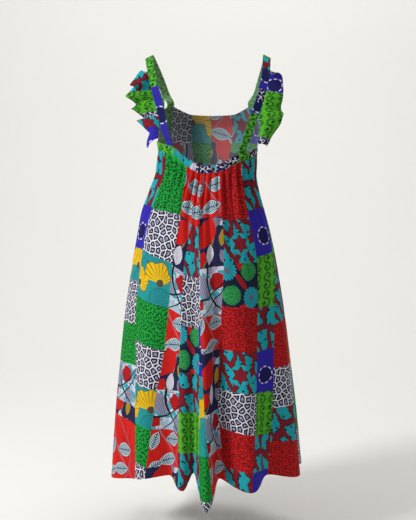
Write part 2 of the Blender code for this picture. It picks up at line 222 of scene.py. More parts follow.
def body_radius(angle, height):
    turn = np.radians(angle)
    depth = np.where(np.cos(turn) > 0, section("back", height), section("front", height))
    across = (np.abs(np.sin(turn)) / section("half_width", height)) ** SECTION_POWER
    along = (np.abs(np.cos(turn)) / depth) ** SECTION_POWER
    return (across + along) ** (-1 / SECTION_POWER)


def placed(angle, radius, height):
    turn = np.radians(angle)
    x = section("shift", height) + radius * np.sin(turn)
    return np.stack([x, -radius * np.cos(turn), height + 0 * radius], axis=-1)


def gather_phase(angle):
    turn = np.radians(angle)
    return GATHERS * turn + 0.5 * np.sin(3 * turn) + 0.3 * np.sin(7 * turn + 1)


def gather_wave(angle):
    """Round crests and narrow valleys, a little uneven from one gather to the next."""
    turn = np.radians(angle)
    strength = 0.8 + 0.2 * np.sin(5 * turn + 2) + 0.12 * np.sin(17 * turn)
    crest = (0.5 + 0.5 * np.cos(gather_phase(angle))) ** 0.5
    return strength * (2 * crest - 1)


def pleat_wave(angle):
    """The longer soft pleats that the gathers run into."""
    turn = np.radians(angle)
    strength = 0.75 + 0.25 * np.sin(4 * turn + 0.6)
    return strength * np.cos(gather_phase(angle) / 3 + 0.8 * np.sin(2 * turn) + 0.4)


def fold_offset(angle, height):
    offset = np.zeros(np.broadcast(angle, height).shape)
    for centre, half_width, depth, start in zip(*FOLDS.values()):
        run = np.clip((start - height) / (start - HEM_LEVEL), 0, None)
        away = angle_between(angle, centre) / half_width
        offset += depth * run**1.15 * np.exp(-(away**2))
    return offset


def crease_offset(angle, height):
    offset = np.zeros(np.broadcast(angle, height).shape)
    for centre, middle, lean, half_length, half_width, depth in zip(*CREASES.values()):
        rise = height - middle
        away = angle_between(angle, centre + lean * rise) / half_width
        offset -= depth * np.exp(-(away**2) - (rise / half_length) ** 2)
    return offset


def skirt_point(angle, height):
    top = around(WAIST_SEAM, angle) - SEAM_GAP / 2
    below = np.clip(top - height, 0, None)
    held = 0.30 + 0.70 * (1 - np.exp(-((below / 0.022) ** 2)))
    gathers = GATHER_DEPTH * held * np.exp(-((below / GATHER_FADE) ** 1.2)) * gather_wave(angle)
    rise = 1 - np.exp(-((below / 0.06) ** 2))
    pleats = PLEAT_DEPTH * rise * np.exp(-((below / PLEAT_FADE) ** 1.6)) * pleat_wave(angle)
    radius = body_radius(angle, height) + fold_offset(angle, height) + crease_offset(angle, height)
    return placed(angle, radius + gathers + pleats, height)


def casing_point(angle, height):
    bottom = around(WAIST_SEAM, angle) + SEAM_GAP / 2
    up = np.clip((height - bottom) / CASING_HEIGHT, 0, 1)
    swell = 0.0014 * np.sin(math.pi * up)
    rib = 0.0021 * gather_wave(angle) * (0.35 + 0.65 * np.abs(2 * up - 1))
    lifted = height + 0.0009 * up * gather_wave(angle + 3)
    return placed(angle, body_radius(angle, height) + swell + rib, lifted)


def neck_height(angle):
    from_front = np.abs(angle_between(angle, 180))
    left = smooth_through(NECK_EDGE["angle"], NECK_EDGE["left"], from_front)
    right = smooth_through(NECK_EDGE["angle"], NECK_EDGE["right"], from_front)
    return np.where(angle_between(angle, 0) < 0, left, right)


def bodice_point(angle, height):
    """Soft tension lines run from the straps and the side seams towards the bust."""
    top = neck_height(angle)
    bottom = around(WAIST_SEAM, angle)
    up = (height - bottom) / (top - bottom)
    from_front = angle_between(angle, 180)
    draw = 0.0014 * np.sin(0.35 * from_front + 14 * up) * np.exp(-(((np.abs(from_front) - 62) / 18) ** 2))
    pucker = 0.0012 * np.exp(-((up / 0.14) ** 2)) * gather_wave(angle)
    return placed(angle, body_radius(angle, height) + draw + pucker, height)


def bodice_cut(angle, up):
    bottom = around(WAIST_SEAM, angle) + SEAM_GAP / 2
    return bottom + up * (neck_height(angle) - bottom)


def casing_cut(angle, up):
    return around(WAIST_SEAM, angle) + SEAM_GAP / 2 + up * CASING_HEIGHT


def skirt_cut(angle, down):
    top = around(WAIST_SEAM, angle) - SEAM_GAP / 2
    return top + down * (around(HEM, angle) - top)


# Node patterns


class Num:
    """A number that changes over the cloth. Formulas on it become Math nodes."""

    def __init__(self, ink, socket):
        self.ink = ink
        self.socket = socket

    def __add__(self, other):
        return self.ink.math("ADD", self, other)

    def __radd__(self, other):
        return self.ink.math("ADD", other, self)

    def __sub__(self, other):
        return self.ink.math("SUBTRACT", self, other)

    def __rsub__(self, other):
        return self.ink.math("SUBTRACT", other, self)

    def __mul__(self, other):
        return self.ink.math("MULTIPLY", self, other)

    def __rmul__(self, other):
        return self.ink.math("MULTIPLY", other, self)

    def __truediv__(self, other):
        return self.ink.math("DIVIDE", self, other)

    def __abs__(self):
        return self.ink.math("ABSOLUTE", self)


class Ink:
    """Builds one material's pattern. x and y are metres from the middle of a printed patch."""

    def __init__(self, tree, uv_name="patch"):
        self.tree = tree
        uv = tree.nodes.new("ShaderNodeUVMap")
        uv.uv_map = uv_name
        self.place = uv.outputs["UV"]
        split = tree.nodes.new("ShaderNodeSeparateXYZ")
        tree.links.new(self.place, split.inputs[0])
        self.x = Num(self, split.outputs["X"])
        self.y = Num(self, split.outputs["Y"])

    def plug(self, value, socket):
        if isinstance(value, Num):
            self.tree.links.new(value.socket, socket)
        elif isinstance(value, bpy.types.NodeSocket):
            self.tree.links.new(value, socket)
        elif isinstance(value, tuple):
            socket.default_value = (*value, 1) if len(value) == 3 else value
        else:
            socket.default_value = value

    def math(self, operation, *values, clamp=False):
        node = self.tree.nodes.new("ShaderNodeMath")
        node.operation = operation
        node.use_clamp = clamp
        for value, socket in zip(values, node.inputs):
            self.plug(value, socket)
        return Num(self, node.outputs[0])

    def sin(self, value):
        return self.math("SINE", value)

    def cos(self, value):
        return self.math("COSINE", value)

    def most(self, a, b):
        return self.math("MAXIMUM", a, b)

    def least(self, a, b):
        return self.math("MINIMUM", a, b)

    def wrap(self, value, period):
        """Folds a coordinate into -period/2 to period/2."""
        return self.math("WRAP", value, period / 2, -period / 2)

    def inside(self, depth, soft=0.0007):
        """1 where depth, in metres, is above 0, with a soft edge."""
        return self.math("MULTIPLY_ADD", depth, 1 / soft, 0.5, clamp=True)

    def above(self, value, edge, soft):
        return self.math("MULTIPLY_ADD", value, 1 / soft, 0.5 - edge / soft, clamp=True)

    def mix(self, share, under, over):
        node = self.tree.nodes.new("ShaderNodeMix")
        node.data_type = "RGBA"
        self.plug(share, node.inputs["Factor"])
        self.plug(under, node.inputs[6])
        self.plug(over, node.inputs[7])
        return node.outputs[2]

    def vector(self, x, y):
        node = self.tree.nodes.new("ShaderNodeCombineXYZ")
        self.plug(x, node.inputs[0])
        self.plug(y, node.inputs[1])
        return node.outputs[0]

    def noise(self, scale, detail=2.0, place=None):
        node = self.tree.nodes.new("ShaderNodeTexNoise")
        node.noise_dimensions = "2D"
        node.inputs["Scale"].default_value = scale
        node.inputs["Detail"].default_value = detail
        self.plug(place or self.place, node.inputs["Vector"])
        return Num(self, node.outputs["Fac"])

    def cells(self, scale, feature="F1", uneven=1.0, place=None):
        node = self.tree.nodes.new("ShaderNodeTexVoronoi")
        node.voronoi_dimensions = "2D"
        node.feature = feature
        node.inputs["Scale"].default_value = scale
        node.inputs["Randomness"].default_value = uneven
        self.plug(place or self.place, node.inputs["Vector"])
        return Num(self, node.outputs["Distance"])

    def wobble(self, size, scale):
        """The patch's place with a hand-drawn unevenness."""
        across = self.x + (self.noise(scale) - 0.5) * (2 * size)
        shifted = self.vector(self.x + 0.31, self.y - 0.17)
        up = self.y + (self.noise(scale, place=shifted) - 0.5) * (2 * size)
        return across, up

    def polar(self, x, y, centre):
        across = x - centre[0]
        up = y - centre[1]
        reach = self.math("SQRT", across * across + up * up)
        return reach, self.math("ARCTAN2", up, across)

    def leaf(self, x, y, centre, lean, length, width):
        """How deep a point lies inside a pointed leaf, with its places along and across it."""
        turn = math.radians(lean)
        across = x - centre[0]
        up = y - centre[1]
        along = across * math.cos(turn) + up * math.sin(turn)
        side = up * math.cos(turn) - across * math.sin(turn)
        share = along * (2 / length)
        depth = (1 - share * share) * (width / 2) - abs(side)
        return depth, along, side

    def stem(self, x, y, start, bend, width):
        """How deep a point lies inside a curved stem that rises from start and bends with height."""
        away = x - start[0] - (y - start[1]) * bend[0] - (y - start[1]) * (y - start[1]) * bend[1]
        return width / 2 - abs(away)


INK_BLACK = (0.006, 0.006, 0.014)
NAVY = (0.014, 0.014, 0.062)
WHITE = (0.78, 0.77, 0.86)
LILAC_GREY = (0.30, 0.28, 0.40)
RED = (0.74, 0.012, 0.006)
DEEP_RED = (0.34, 0.005, 0.008)
MAROON = (0.20, 0.006, 0.018)
TURQUOISE = (0.014, 0.44, 0.52)
TEAL = (0.012, 0.29, 0.30)
YELLOW = (0.86, 0.54, 0.008)
MUSTARD = (0.50, 0.33, 0.02)
GREEN = (0.004, 0.33, 0.030)
DARK_GREEN = (0.002, 0.045, 0.008)
LIME = (0.11, 0.50, 0.02)
ROYAL = (0.020, 0.010, 0.36)


def green_dots(ink):
    dots = ink.cells(128, uneven=0.85)
    dashes = ink.cells(150, place=ink.vector(ink.x * 1.6 + 0.2, ink.y * 0.9 + 0.4))
    ground = ink.mix(ink.above(ink.noise(190), 0.54, 0.3), GREEN, (0.010, 0.46, 0.06))
    ground = ink.mix(ink.above(0.22 - dashes, 0, 0.16) * 0.7, ground, (0.003, 0.14, 0.018))
    return ink.mix(ink.above(0.31 - dots, 0, 0.07), ground, (0.001, 0.022, 0.004))


def leopard(ink):
    x, y = ink.wobble(0.0016, 130)
    place = ink.vector(x, y)
    edge = ink.cells(54, "DISTANCE_TO_EDGE", 0.8, place)
    ring = ink.mix(ink.above(edge, 0.088, 0.02), (0.86, 0.85, 0.93), (0.004, 0.004, 0.030))
    heart = ink.mix(ink.above(ink.noise(300), 0.5, 0.2), (0.16, 0.15, 0.28), (0.56, 0.55, 0.70))
    return ink.mix(ink.above(edge, 0.310, 0.03), ring, heart)


def fan_flower(ink, x, y, centre, reach, facing, under):
    """A half-open flower of ribbed petals round a dark eye."""
    away, turn = ink.polar(x, y, centre)
    spread = ink.cos((turn - math.radians(facing)) * 0.5)
    lobes = abs(ink.sin(turn * 3.2)) * 0.16 + 0.84
    edge = lobes * (ink.most(spread, 0.0) * (1.16 * reach) - 0.12 * reach)
    depth = edge - away
    rib = ink.above(ink.sin(turn * 22), 0.86, 0.12) * ink.above(away, 0.3 * reach, 0.004)
    petal = ink.mix(rib * 0.85, YELLOW, (0.16, 0.06, 0.006))
    drawn = ink.mix(ink.inside(depth + 0.0014), under, INK_BLACK)
    drawn = ink.mix(ink.inside(depth), drawn, petal)
    eye = ink.mix(ink.above(ink.sin(away * 2600), 0, 0.4), INK_BLACK, (0.20, 0.15, 0.07))
    return ink.mix(ink.inside(0.17 * reach - away), drawn, eye)


def shell(ink, x, y, centre, reach, under, lines=34):
    """A round fan hatched with fine lines, as behind the flowers."""
    away, turn = ink.polar(x, y, centre)
    hatch = ink.above(ink.sin(turn * lines), 0.35, 0.5)
    face = ink.mix(hatch * 0.75, (0.02, 0.36, 0.38), (0.003, 0.10, 0.12))
    drawn = ink.mix(ink.inside(reach + 0.0012 - away), under, (0.002, 0.06, 0.08))
    return ink.mix(ink.inside(reach - away), drawn, face)


def teal_fan(ink):
    x, y = ink.wobble(0.0025, 45)
    rows = ink.above(ink.sin(ink.x * 1500 + ink.sin(ink.y * 260) * 1.4), 0.3, 0.7)
    ground = ink.mix(rows * 0.55, TEAL, (0.03, 0.46, 0.46))
    drawn = shell(ink, x, y, (-0.010, 0.052), 0.030, ground)
    drawn = shell(ink, x, y, (0.034, -0.052), 0.036, drawn, 30)
    drawn = shell(ink, x, y, (-0.034, 0.022), 0.026, drawn, 26)
    drawn = fan_flower(ink, x, y, (-0.052, -0.024), 0.046, 60, drawn)
    drawn = fan_flower(ink, x, y, (-0.026, 0.074), 0.040, 250, drawn)
    return fan_flower(ink, x, y, (0.028, -0.002), 0.062, 140, drawn)


def striped_leaf(ink, x, y, centre, lean, length, width, under):
    """A white leaf with a midrib and slanting teal and navy veins."""
    depth, along, side = ink.leaf(x, y, centre, lean, length, width)
    veins = ink.sin((along - abs(side) * 0.9) * 880)
    face = ink.mix(ink.above(veins, -0.35, 0.4), WHITE, (0.012, 0.40, 0.46))
    face = ink.mix(ink.above(veins, 0.62, 0.2), face, NAVY)
    face = ink.mix(ink.inside(0.0012 - abs(side)), face, NAVY)
    face = ink.mix(ink.inside(0.0022 - depth), face, WHITE)
    drawn = ink.mix(ink.inside(depth + 0.0012), under, INK_BLACK)
    return ink.mix(ink.inside(depth), drawn, face)


def red_leaf(ink):
    x, y = ink.wobble(0.002, 50)
    streak = ink.above(ink.noise(26, 3, ink.vector(ink.x * 7, ink.y)), 0.55, 0.12)
    ground = ink.mix(streak * 0.6, RED, (0.40, 0.006, 0.004))
    stalk = ink.stem(x, y, (-0.032, 0.06), (-0.45, 4.0), 0.0042)
    ground = ink.mix(ink.inside(stalk), ground, (0.34, 0.22, 0.30))
    branch = ink.stem(x, y, (0.046, -0.01), (0.22, -5.0), 0.0036)
    ground = ink.mix(ink.inside(branch), ground, (0.24, 0.12, 0.20))
    ground = striped_leaf(ink, x, y, (0.022, 0.028), 8, 0.062, 0.040, ground)
    ground = striped_leaf(ink, x, y, (0.004, -0.034), 16, 0.068, 0.036, ground)
    ground = striped_leaf(ink, x, y, (-0.042, 0.022), 72, 0.056, 0.030, ground)
    return striped_leaf(ink, x, y, (-0.040, -0.052), 30, 0.050, 0.026, ground)


def ribbed_leaf(ink, x, y, centre, lean, length, width, colour, line, under):
    depth, along, side = ink.leaf(x, y, centre, lean, length, width)
    ribs = ink.above(ink.sin(side * 1300 + along * 160), 0.35, 0.5)
    face = ink.mix(ribs * 0.8, colour, line)
    face = ink.mix(ink.inside(0.0016 - depth), face, colour)
    return ink.mix(ink.inside(depth), under, face)


def navy_leaf(ink):
    x, y = ink.wobble(0.002, 50)
    ground = ink.mix(ink.above(ink.noise(300), 0.6, 0.2) * 0.4, NAVY, (0.03, 0.03, 0.12))
    stalk = ink.stem(x, y, (0.006, 0.0), (0.35, -3.0), 0.0042)
    ground = ink.mix(ink.inside(stalk), ground, (0.28, 0.22, 0.06))
    dark_red = (0.36, 0.004, 0.004)
    ground = ribbed_leaf(ink, x, y, (0.010, 0.052), 20, 0.060, 0.026, LILAC_GREY, NAVY, ground)
    ground = ribbed_leaf(ink, x, y, (-0.014, 0.026), 62, 0.094, 0.058, RED, dark_red, ground)
    ground = ribbed_leaf(ink, x, y, (0.036, 0.012), 80, 0.050, 0.022, MUSTARD, (0.22, 0.12, 0.01), ground)
    ground = ribbed_leaf(ink, x, y, (-0.004, -0.034), 84, 0.058, 0.028, WHITE, LILAC_GREY, ground)
    ground = ribbed_leaf(ink, x, y, (0.040, -0.042), 118, 0.048, 0.022, LILAC_GREY, NAVY, ground)
    ground = ribbed_leaf(ink, x, y, (-0.038, -0.046), 60, 0.054, 0.032, RED, dark_red, ground)
    return ribbed_leaf(ink, x, y, (0.046, 0.056), 30, 0.040, 0.018, WHITE, LILAC_GREY, ground)


def rose(ink, x, y, centre, reach, under):
    """A red rose of curled rings."""
    away, turn = ink.polar(x, y, centre)
    edge = abs(ink.sin(turn * 2.5)) * (0.14 * reach) + 0.86 * reach
    rings = ink.above(ink.sin(away * 900 + turn * 2), 0.45, 0.4)
    face = ink.mix(rings * 0.85, (0.56, 0.008, 0.010), (0.16, 0.002, 0.006))
    return ink.mix(ink.inside(edge - away), under, face)


def white_floral(ink):
    x, y = ink.wobble(0.003, 45)
    grey = (0.40, 0.40, 0.56)
    splash = ink.above(ink.noise(42, 2), 0.50, 0.03)
    ground = ink.mix(splash, (0.78, 0.80, 0.90), TURQUOISE)
    ground = ink.mix(ink.above(ink.sin(x * 950 + y * 420), 0.60, 0.3) * 0.6, ground, (0.16, 0.16, 0.34))
    ground = ribbed_leaf(ink, x, y, (-0.030, 0.016), 118, 0.078, 0.046, grey, NAVY, ground)
    ground = ribbed_leaf(ink, x, y, (0.036, -0.036), 84, 0.060, 0.034, grey, NAVY, ground)
    ground = ribbed_leaf(ink, x, y, (-0.004, -0.050), 150, 0.060, 0.030, (0.62, 0.70, 0.84), TEAL, ground)
    ground = ribbed_leaf(ink, x, y, (0.002, 0.060), 20, 0.060, 0.026, (0.60, 0.62, 0.80), NAVY, ground)
    ground = rose(ink, x, y, (0.022, 0.026), 0.026, ground)
    ground = rose(ink, x, y, (-0.044, -0.034), 0.017, ground)
    first = ink.stem(x, y, (0.0, -0.01), (-0.7, 7.0), 0.0070)
    second = ink.stem(y, x, (-0.012, 0.0), (0.5, 6.0), 0.0058)
    third = ink.stem(x, y, (0.046, 0.0), (0.9, -5.0), 0.0050)
    return ink.mix(ink.inside(ink.most(ink.most(first, second), third)), ground, INK_BLACK)


def red_crackle(ink):
    flecks = ink.noise(160, 3)
    veins = ink.cells(130, "DISTANCE_TO_EDGE")
    ground = ink.mix(ink.above(flecks, 0.49, 0.08), (0.30, 0.003, 0.006), (0.84, 0.014, 0.010))
    return ink.mix(ink.above(0.085 - veins, 0, 0.07) * 0.85, ground, (0.075, 0.001, 0.004))


def star(ink, x, y, centre, reach, under):
    """A six-pointed star on a clear round ground."""
    across = x - centre[0]
    up = y - centre[1]
    slant = abs(across) * 0.866
    pointing_up = reach / 2 - ink.most(0 - up, slant + up * 0.5)
    pointing_down = reach / 2 - ink.most(up, slant - up * 0.5)
    depth = ink.most(pointing_up, pointing_down)
    away, turn = ink.polar(x, y, centre)
    rays = ink.above(ink.sin(turn * 16), 0.62, 0.3) * ink.above(away, 1.15 * reach, 0.002)
    drawn = ink.mix(ink.inside(1.22 * reach - away, 0.002), under, ink.mix(rays, TURQUOISE, (0.004,
        0.14, 0.18)))
    drawn = ink.mix(ink.inside(depth + 0.0016), drawn, INK_BLACK)
    speckle = ink.above(ink.noise(240), 0.5, 0.3)
    return ink.mix(ink.inside(depth), drawn, ink.mix(speckle, MAROON, (0.34, 0.015, 0.03)))


def coral(ink, starred=False):
    x, y = ink.wobble(0.011, 30)
    place = ink.vector(x * 1.5 + y * 0.5 + (0.37 if starred else 0.0), y * 0.75)
    edge = ink.cells(17, "DISTANCE_TO_EDGE", 0.95, place)
    hatch = ink.above(ink.sin(y * 800 + x * 300), 0.8, 0.25) * 0.6
    ground = ink.mix(hatch, TURQUOISE, (0.004, 0.16, 0.20))
    dots = ink.cells(46, "F1", 0.8)
    ground = ink.mix(ink.above(0.15 - dots, 0, 0.03), ground, INK_BLACK)
    ground = ink.mix(ink.above(0.150 - edge, 0, 0.016), ground, INK_BLACK)
    branch = ink.mix(ink.above(ink.noise(240), 0.5, 0.3), MAROON, (0.30, 0.012, 0.022))
    ground = ink.mix(ink.above(0.112 - edge, 0, 0.016), ground, branch)
    return star(ink, ink.x, ink.y, (0.002, -0.008), 0.025, ground) if starred else ground


def coral_star(ink):
    return coral(ink, True)


def green_disc(ink, x, y, centre, reach, under):
    away, _ = ink.polar(x, y, centre)
    speckle = ink.above(ink.noise(330, 2), 0.5, 0.14)
    face = ink.mix(speckle, (0.004, 0.14, 0.03), (0.05, 0.46, 0.12))
    return ink.mix(ink.inside(reach - away), under, face)


def daisy(ink, x, y, centre, reach, under):
    away, turn = ink.polar(x, y, centre)
    edge = abs(ink.sin(turn * 9)) * (0.16 * reach) + 0.84 * reach
    gaps = ink.above(abs(ink.sin(turn * 9)), 0.32, 0.2)
    face = ink.mix(gaps, (0.004, 0.12, 0.18), (0.018, 0.42, 0.52))
    drawn = ink.mix(ink.inside(edge - away), under, face)
    heart = ink.mix(ink.above(ink.noise(500), 0.5, 0.2), NAVY, LILAC_GREY)
    return ink.mix(ink.inside(0.27 * reach - away), drawn, heart)


def circle_flowers(ink):
    x, y = ink.wobble(0.0015, 60)
    ground = (0.008, 0.014, 0.045)
    ground = ribbed_leaf(ink, x, y, (-0.004, 0.010), -50, 0.072, 0.016, (0.50, 0.012, 0.016), MAROON,
        ground)
    ground = ribbed_leaf(ink, x, y, (-0.008, 0.060), 80, 0.040, 0.020, RED, DEEP_RED, ground)
    ground = ribbed_leaf(ink, x, y, (0.004, -0.062), 20, 0.040, 0.018, RED, DEEP_RED, ground)
    ground = green_disc(ink, x, y, (0.022, 0.040), 0.027, ground)
    ground = green_disc(ink, x, y, (-0.032, -0.028), 0.027, ground)
    ground = daisy(ink, x, y, (-0.048, 0.040), 0.029, ground)
    return daisy(ink, x, y, (0.034, -0.034), 0.031, ground)


def royal_blue(ink):
    scales = ink.cells(240, "DISTANCE_TO_EDGE", 0.6, ink.vector(ink.x * 1.5, ink.y))
    ground = ink.mix(ink.above(0.13 - scales, 0, 0.12) * 0.7, ROYAL, (0.055, 0.042, 0.56))
    away, turn = ink.polar(ink.x, ink.y, (0.004, -0.012))
    ground = ink.mix(ink.inside(0.022 - away), ground, (0.008, 0.008, 0.10))
    dash = ink.inside(0.0017 - abs(away - 0.024)) * ink.above(ink.sin(turn * 9), -0.25, 0.5)
    return ink.mix(dash, ground, WHITE)


def arc(ink, x, y, centre, reach, open_side, width):
    """Three quarters of a ring. open_side says on which side, across and up, the quarter is missing."""
    away, _ = ink.polar(x, y, centre)
    gap = ink.least((x - centre[0]) * open_side[0], (y - centre[1]) * open_side[1])
    return ink.least(width / 2 - abs(away - reach), 0 - gap)


def green_scroll(ink):
    x, y = ink.wobble(0.0016, 70)
    column = ink.math("FLOOR", x * (1 / 0.036) + 0.5)
    y = ink.wrap(y + column * 0.021, 0.050)
    x = ink.wrap(x, 0.036)
    veins = ink.above(ink.noise(120, 1), 0.58, 0.06)
    ground = ink.mix(veins * 0.6, LIME, (0.03, 0.34, 0.03))
    upper = arc(ink, x, y, (0.0, 0.0105), 0.0105, (1, -1), 0.0058)
    lower = arc(ink, x, y, (0.0, -0.0105), 0.0105, (-1, 1), 0.0058)
    stroke = ink.most(upper, lower)
    ends = ink.most(0.0040 - ink.polar(x, y, (0.0045, 0.0105))[0], 0.0040 - ink.polar(x, y, (-0.0045,
        -0.0105))[0])
    ground = ink.mix(ink.inside(ink.most(stroke, ends)), ground, DARK_GREEN)
    return ink.mix(ink.inside(stroke - 0.0021), ground, (0.08, 0.42, 0.03))


def navy_dash(ink):
    x, y = ink.wobble(0.002, 90)
    edge = ink.cells(85, "DISTANCE_TO_EDGE", 1.0, ink.vector(x, y))
    dash = ink.above(0.115 - edge, 0, 0.05) * ink.above(ink.noise(95, 1), 0.47, 0.05)
    ground = ink.mix(ink.above(ink.noise(60), 0.55, 0.1), (0.010, 0.008, 0.035), (0.02, 0.012, 0.16))
    return ink.mix(dash, ground, WHITE)


MOTIFS = {
    "green_dots": green_dots,
    "leopard": leopard,
    "teal_fan": teal_fan,
    "red_leaf": red_leaf,
    "navy_leaf": navy_leaf,
    "white_floral": white_floral,
    "red_crackle": red_crackle,
    "coral": coral,
    "coral_star": coral_star,
    "circle_flowers": circle_flowers,
    "royal_blue": royal_blue,
    "green_scroll": green_scroll,
    "navy_dash": navy_dash,
}


def cotton_group():
    """What every patch shares: plain weave, fine wax crackle, uneven dye, and a greyer wrong side that is
    partly the reverse's own fade and partly painted shade.
    """
    group = bpy.data.node_groups.new("waxed_cotton", "ShaderNodeTree")
    for name, kind in (("Print", "NodeSocketColor"), ("Wrong Side", "NodeSocketFloat")):
        group.interface.new_socket(name, in_out="INPUT", socket_type=kind)
    for name, kind in (("Colour", "NodeSocketColor"), ("Roughness", "NodeSocketFloat"), ("Height",
        "NodeSocketFloat")):
        group.interface.new_socket(name, in_out="OUTPUT", socket_type=kind)
    given = group.nodes.new("NodeGroupInput")
    made = group.nodes.new("NodeGroupOutput")
    ink = Ink(group, "cloth")
    warp = ink.sin(ink.x * 6200)
    weft = ink.sin(ink.y * 6200)
    weave = warp * weft
    slub = ink.noise(900, 2, ink.vector(ink.x, ink.y * 4))
    crackle = ink.above(0.018 - ink.cells(55, "DISTANCE_TO_EDGE"), 0, 0.02)
    dye = ink.noise(11, 3)
    printed = given.outputs["Print"]
    colour = ink.mix(ink.above(dye, 0.5, 1.1) * 0.22, printed, INK_BLACK)
    colour = ink.mix(crackle * 0.16, colour, (0.02, 0.02, 0.05))
    colour = ink.mix(ink.above(slub, 0.60, 0.3) * 0.02, colour, WHITE)
    wrong = Num(ink, given.outputs["Wrong Side"])
    # The wrong side is mixed 30% towards grey: partly the print's paler reverse, partly painted shade.
    colour = ink.mix(wrong * 0.30, colour, (0.30, 0.29, 0.31))
    roughness = 0.66 + slub * 0.16 + wrong * 0.08
    ink.plug(colour, made.inputs["Colour"])
    ink.plug(roughness, made.inputs["Roughness"])
    ink.plug(weave * 0.35 + slub, made.inputs["Height"])
    return group


COTTON = cotton_group()


def cloth_material(name, motif):
    material = bpy.data.materials.new(name)
    material.use_nodes = True
    tree = material.node_tree
    shader = tree.nodes["Principled BSDF"]
    ink = Ink(tree)
    cotton = tree.nodes.new("ShaderNodeGroup")
    cotton.node_tree = COTTON
    ink.plug(motif(ink), cotton.inputs["Print"])
    side = tree.nodes.new("ShaderNodeAttribute")
    side.attribute_name = "wrong_side"
    tree.links.new(side.outputs["Fac"], cotton.inputs["Wrong Side"])
    bump = tree.nodes.new("ShaderNodeBump")
    bump.inputs["Strength"].default_value = 0.30
    bump.inputs["Distance"].default_value = 0.0004
    tree.links.new(cotton.outputs["Height"], bump.inputs["Height"])
    tree.links.new(bump.outputs["Normal"], shader.inputs["Normal"])
    tree.links.new(cotton.outputs["Colour"], shader.inputs["Base Color"])
    tree.links.new(cotton.outputs["Roughness"], shader.inputs["Roughness"])
    shader.inputs["Specular IOR Level"].default_value = 0.10
    return material


PRINTS = {name: cloth_material("print_" + name, motif) for name, motif in MOTIFS.items()}
PRINT_NAMES = list(PRINTS)


# Cloth pieces


def edge_angles(edge, share):
    return smooth_through(EDGE_LEVELS, STRIP_EDGES[edge], share) if isinstance(edge,
        str) else edge + 0 * share


def laid_out(strips, rows, cut):
    """The grid of a piece: angles and heights, with each patch's lower edge on grid points."""
    shares = np.asarray(rows, float)
    columns = []
    owners = []
    places = []
    for number, strip in enumerate(strips):
        left = edge_angles(strip["left"], shares)
        right = edge_angles(strip["right"], shares)
        last = number == len(strips) - 1
        for step in range(strip["columns"] + last):
            part = step / strip["columns"]
            columns.append(left + (right - left) * part)
            owners.append(number)
            places.append(part)
    angle = np.stack(columns, axis=1)
    height = cut(angle, shares[:, None] + 0 * angle)
    owners = np.array(owners)
    places = np.array(places)
    for number, strip in enumerate(strips):
        for _, low_left, low_right in strip["patches"][:-1]:
            for column in np.flatnonzero(owners == number):
                line = low_left + (low_right - low_left) * places[column]
                row = int(np.argmin(np.abs(height[:, column] - line)))
                if 0 < row < len(shares) - 1 and abs(height[row, column] - line) < strip.get("snap", 0.004):
                    height[row, column] = line
    return angle, height, owners


def triangles_of(angle, height, strips, owners):
    """Two triangles for each cell, cut along the diagonal that follows a patch's edge."""
    rows, columns = angle.shape
    index = np.arange(rows * columns).reshape(rows, columns)
    a, b = index[:-1, :-1], index[:-1, 1:]
    c, d = index[1:, 1:], index[1:, :-1]
    owner = owners[:-1]
    counts = np.array([strip["columns"] for strip in strips])
    firsts = np.concatenate([[0], np.cumsum(counts)])[:-1]
    start = (np.arange(columns - 1) - firsts[owner]) / counts[owner]
    end = start + 1 / counts[owner]
    falling = np.zeros((rows - 1, columns - 1), bool)
    most = max(len(strip["patches"]) for strip in strips)
    lines_left = np.full((most, columns - 1), -9.0)
    lines_right = np.full((most, columns - 1), -9.0)
    for number, strip in enumerate(strips):
        mine = owner == number
        for k, (_, low_left, low_right) in enumerate(strip["patches"][:-1]):
            lines_left[k, mine] = low_left + (low_right - low_left) * start[mine]
            lines_right[k, mine] = low_left + (low_right - low_left) * end[mine]
    for k in range(most):
        low_corner = np.abs(height[1:, :-1] - lines_left[k]) < 1e-9
        high_corner = np.abs(height[:-1, 1:] - lines_right[k]) < 1e-9
        falling |= low_corner & high_corner
    first = np.where(falling[..., None], np.stack([a, b, d], -1), np.stack([a, b, c], -1))
    second = np.where(falling[..., None], np.stack([b, c, d], -1), np.stack([a, c, d], -1))
    triangles = np.stack([first, second], axis=2).reshape(-1, 3)
    column = np.broadcast_to(np.arange(columns - 1)[None, :, None], (rows - 1, columns - 1, 2)).reshape(-1)
    return triangles, column


def printed(strips, owners, triangles, column, height, run):
    """The patch of each triangle, and its corners' places in metres from the patch's middle.

    run is each grid point's distance along the cloth from the piece's left edge.
    """
    counts = np.array([strip["columns"] for strip in strips])
    firsts = np.concatenate([[0], np.cumsum(counts)])[:-1]
    columns = len(owners)
    owner = owners[column]
    corner_column = triangles % columns
    share = (corner_column - firsts[owner][:, None]) / counts[owner][:, None]
    corner_height = height.reshape(-1)[triangles]
    middle_share = share.mean(axis=1)
    middle_height = corner_height.mean(axis=1)
    print_index = np.zeros(len(triangles), int)
    place = np.zeros((len(triangles), 3, 2))
    for number, strip in enumerate(strips):
        mine = owner == number
        high_left, high_right = strip["top"]
        middle_run = (run[:, firsts[number]] + run[:, firsts[number] + counts[number]]) / 2
        off_middle = run - middle_run[:, None]
        stretch = strip.get("stretch", 1)
        for name, low_left, low_right in strip["patches"]:
            top = high_left + (high_right - high_left) * middle_share
            low = low_left + (low_right - low_left) * middle_share
            inside = mine & (middle_height <= top + 1e-6) & (middle_height > low - 1e-6)
            if (low_left, low_right) == strip["patches"][-1][1:]:
                inside = mine & (middle_height <= top + 1e-6)
            print_index[inside] = PRINT_NAMES.index(name)
            top_line = high_left + (high_right - high_left) * share[inside]
            low_line = low_left + (low_right - low_left) * share[inside]
            place[inside, :, 0] = off_middle.reshape(-1)[triangles[inside]] * stretch
            middle = (top_line + low_line) / 2
            place[inside, :, 1] = corner_height[inside] - middle
            high_left, high_right = low_left, low_right
    return print_index, place


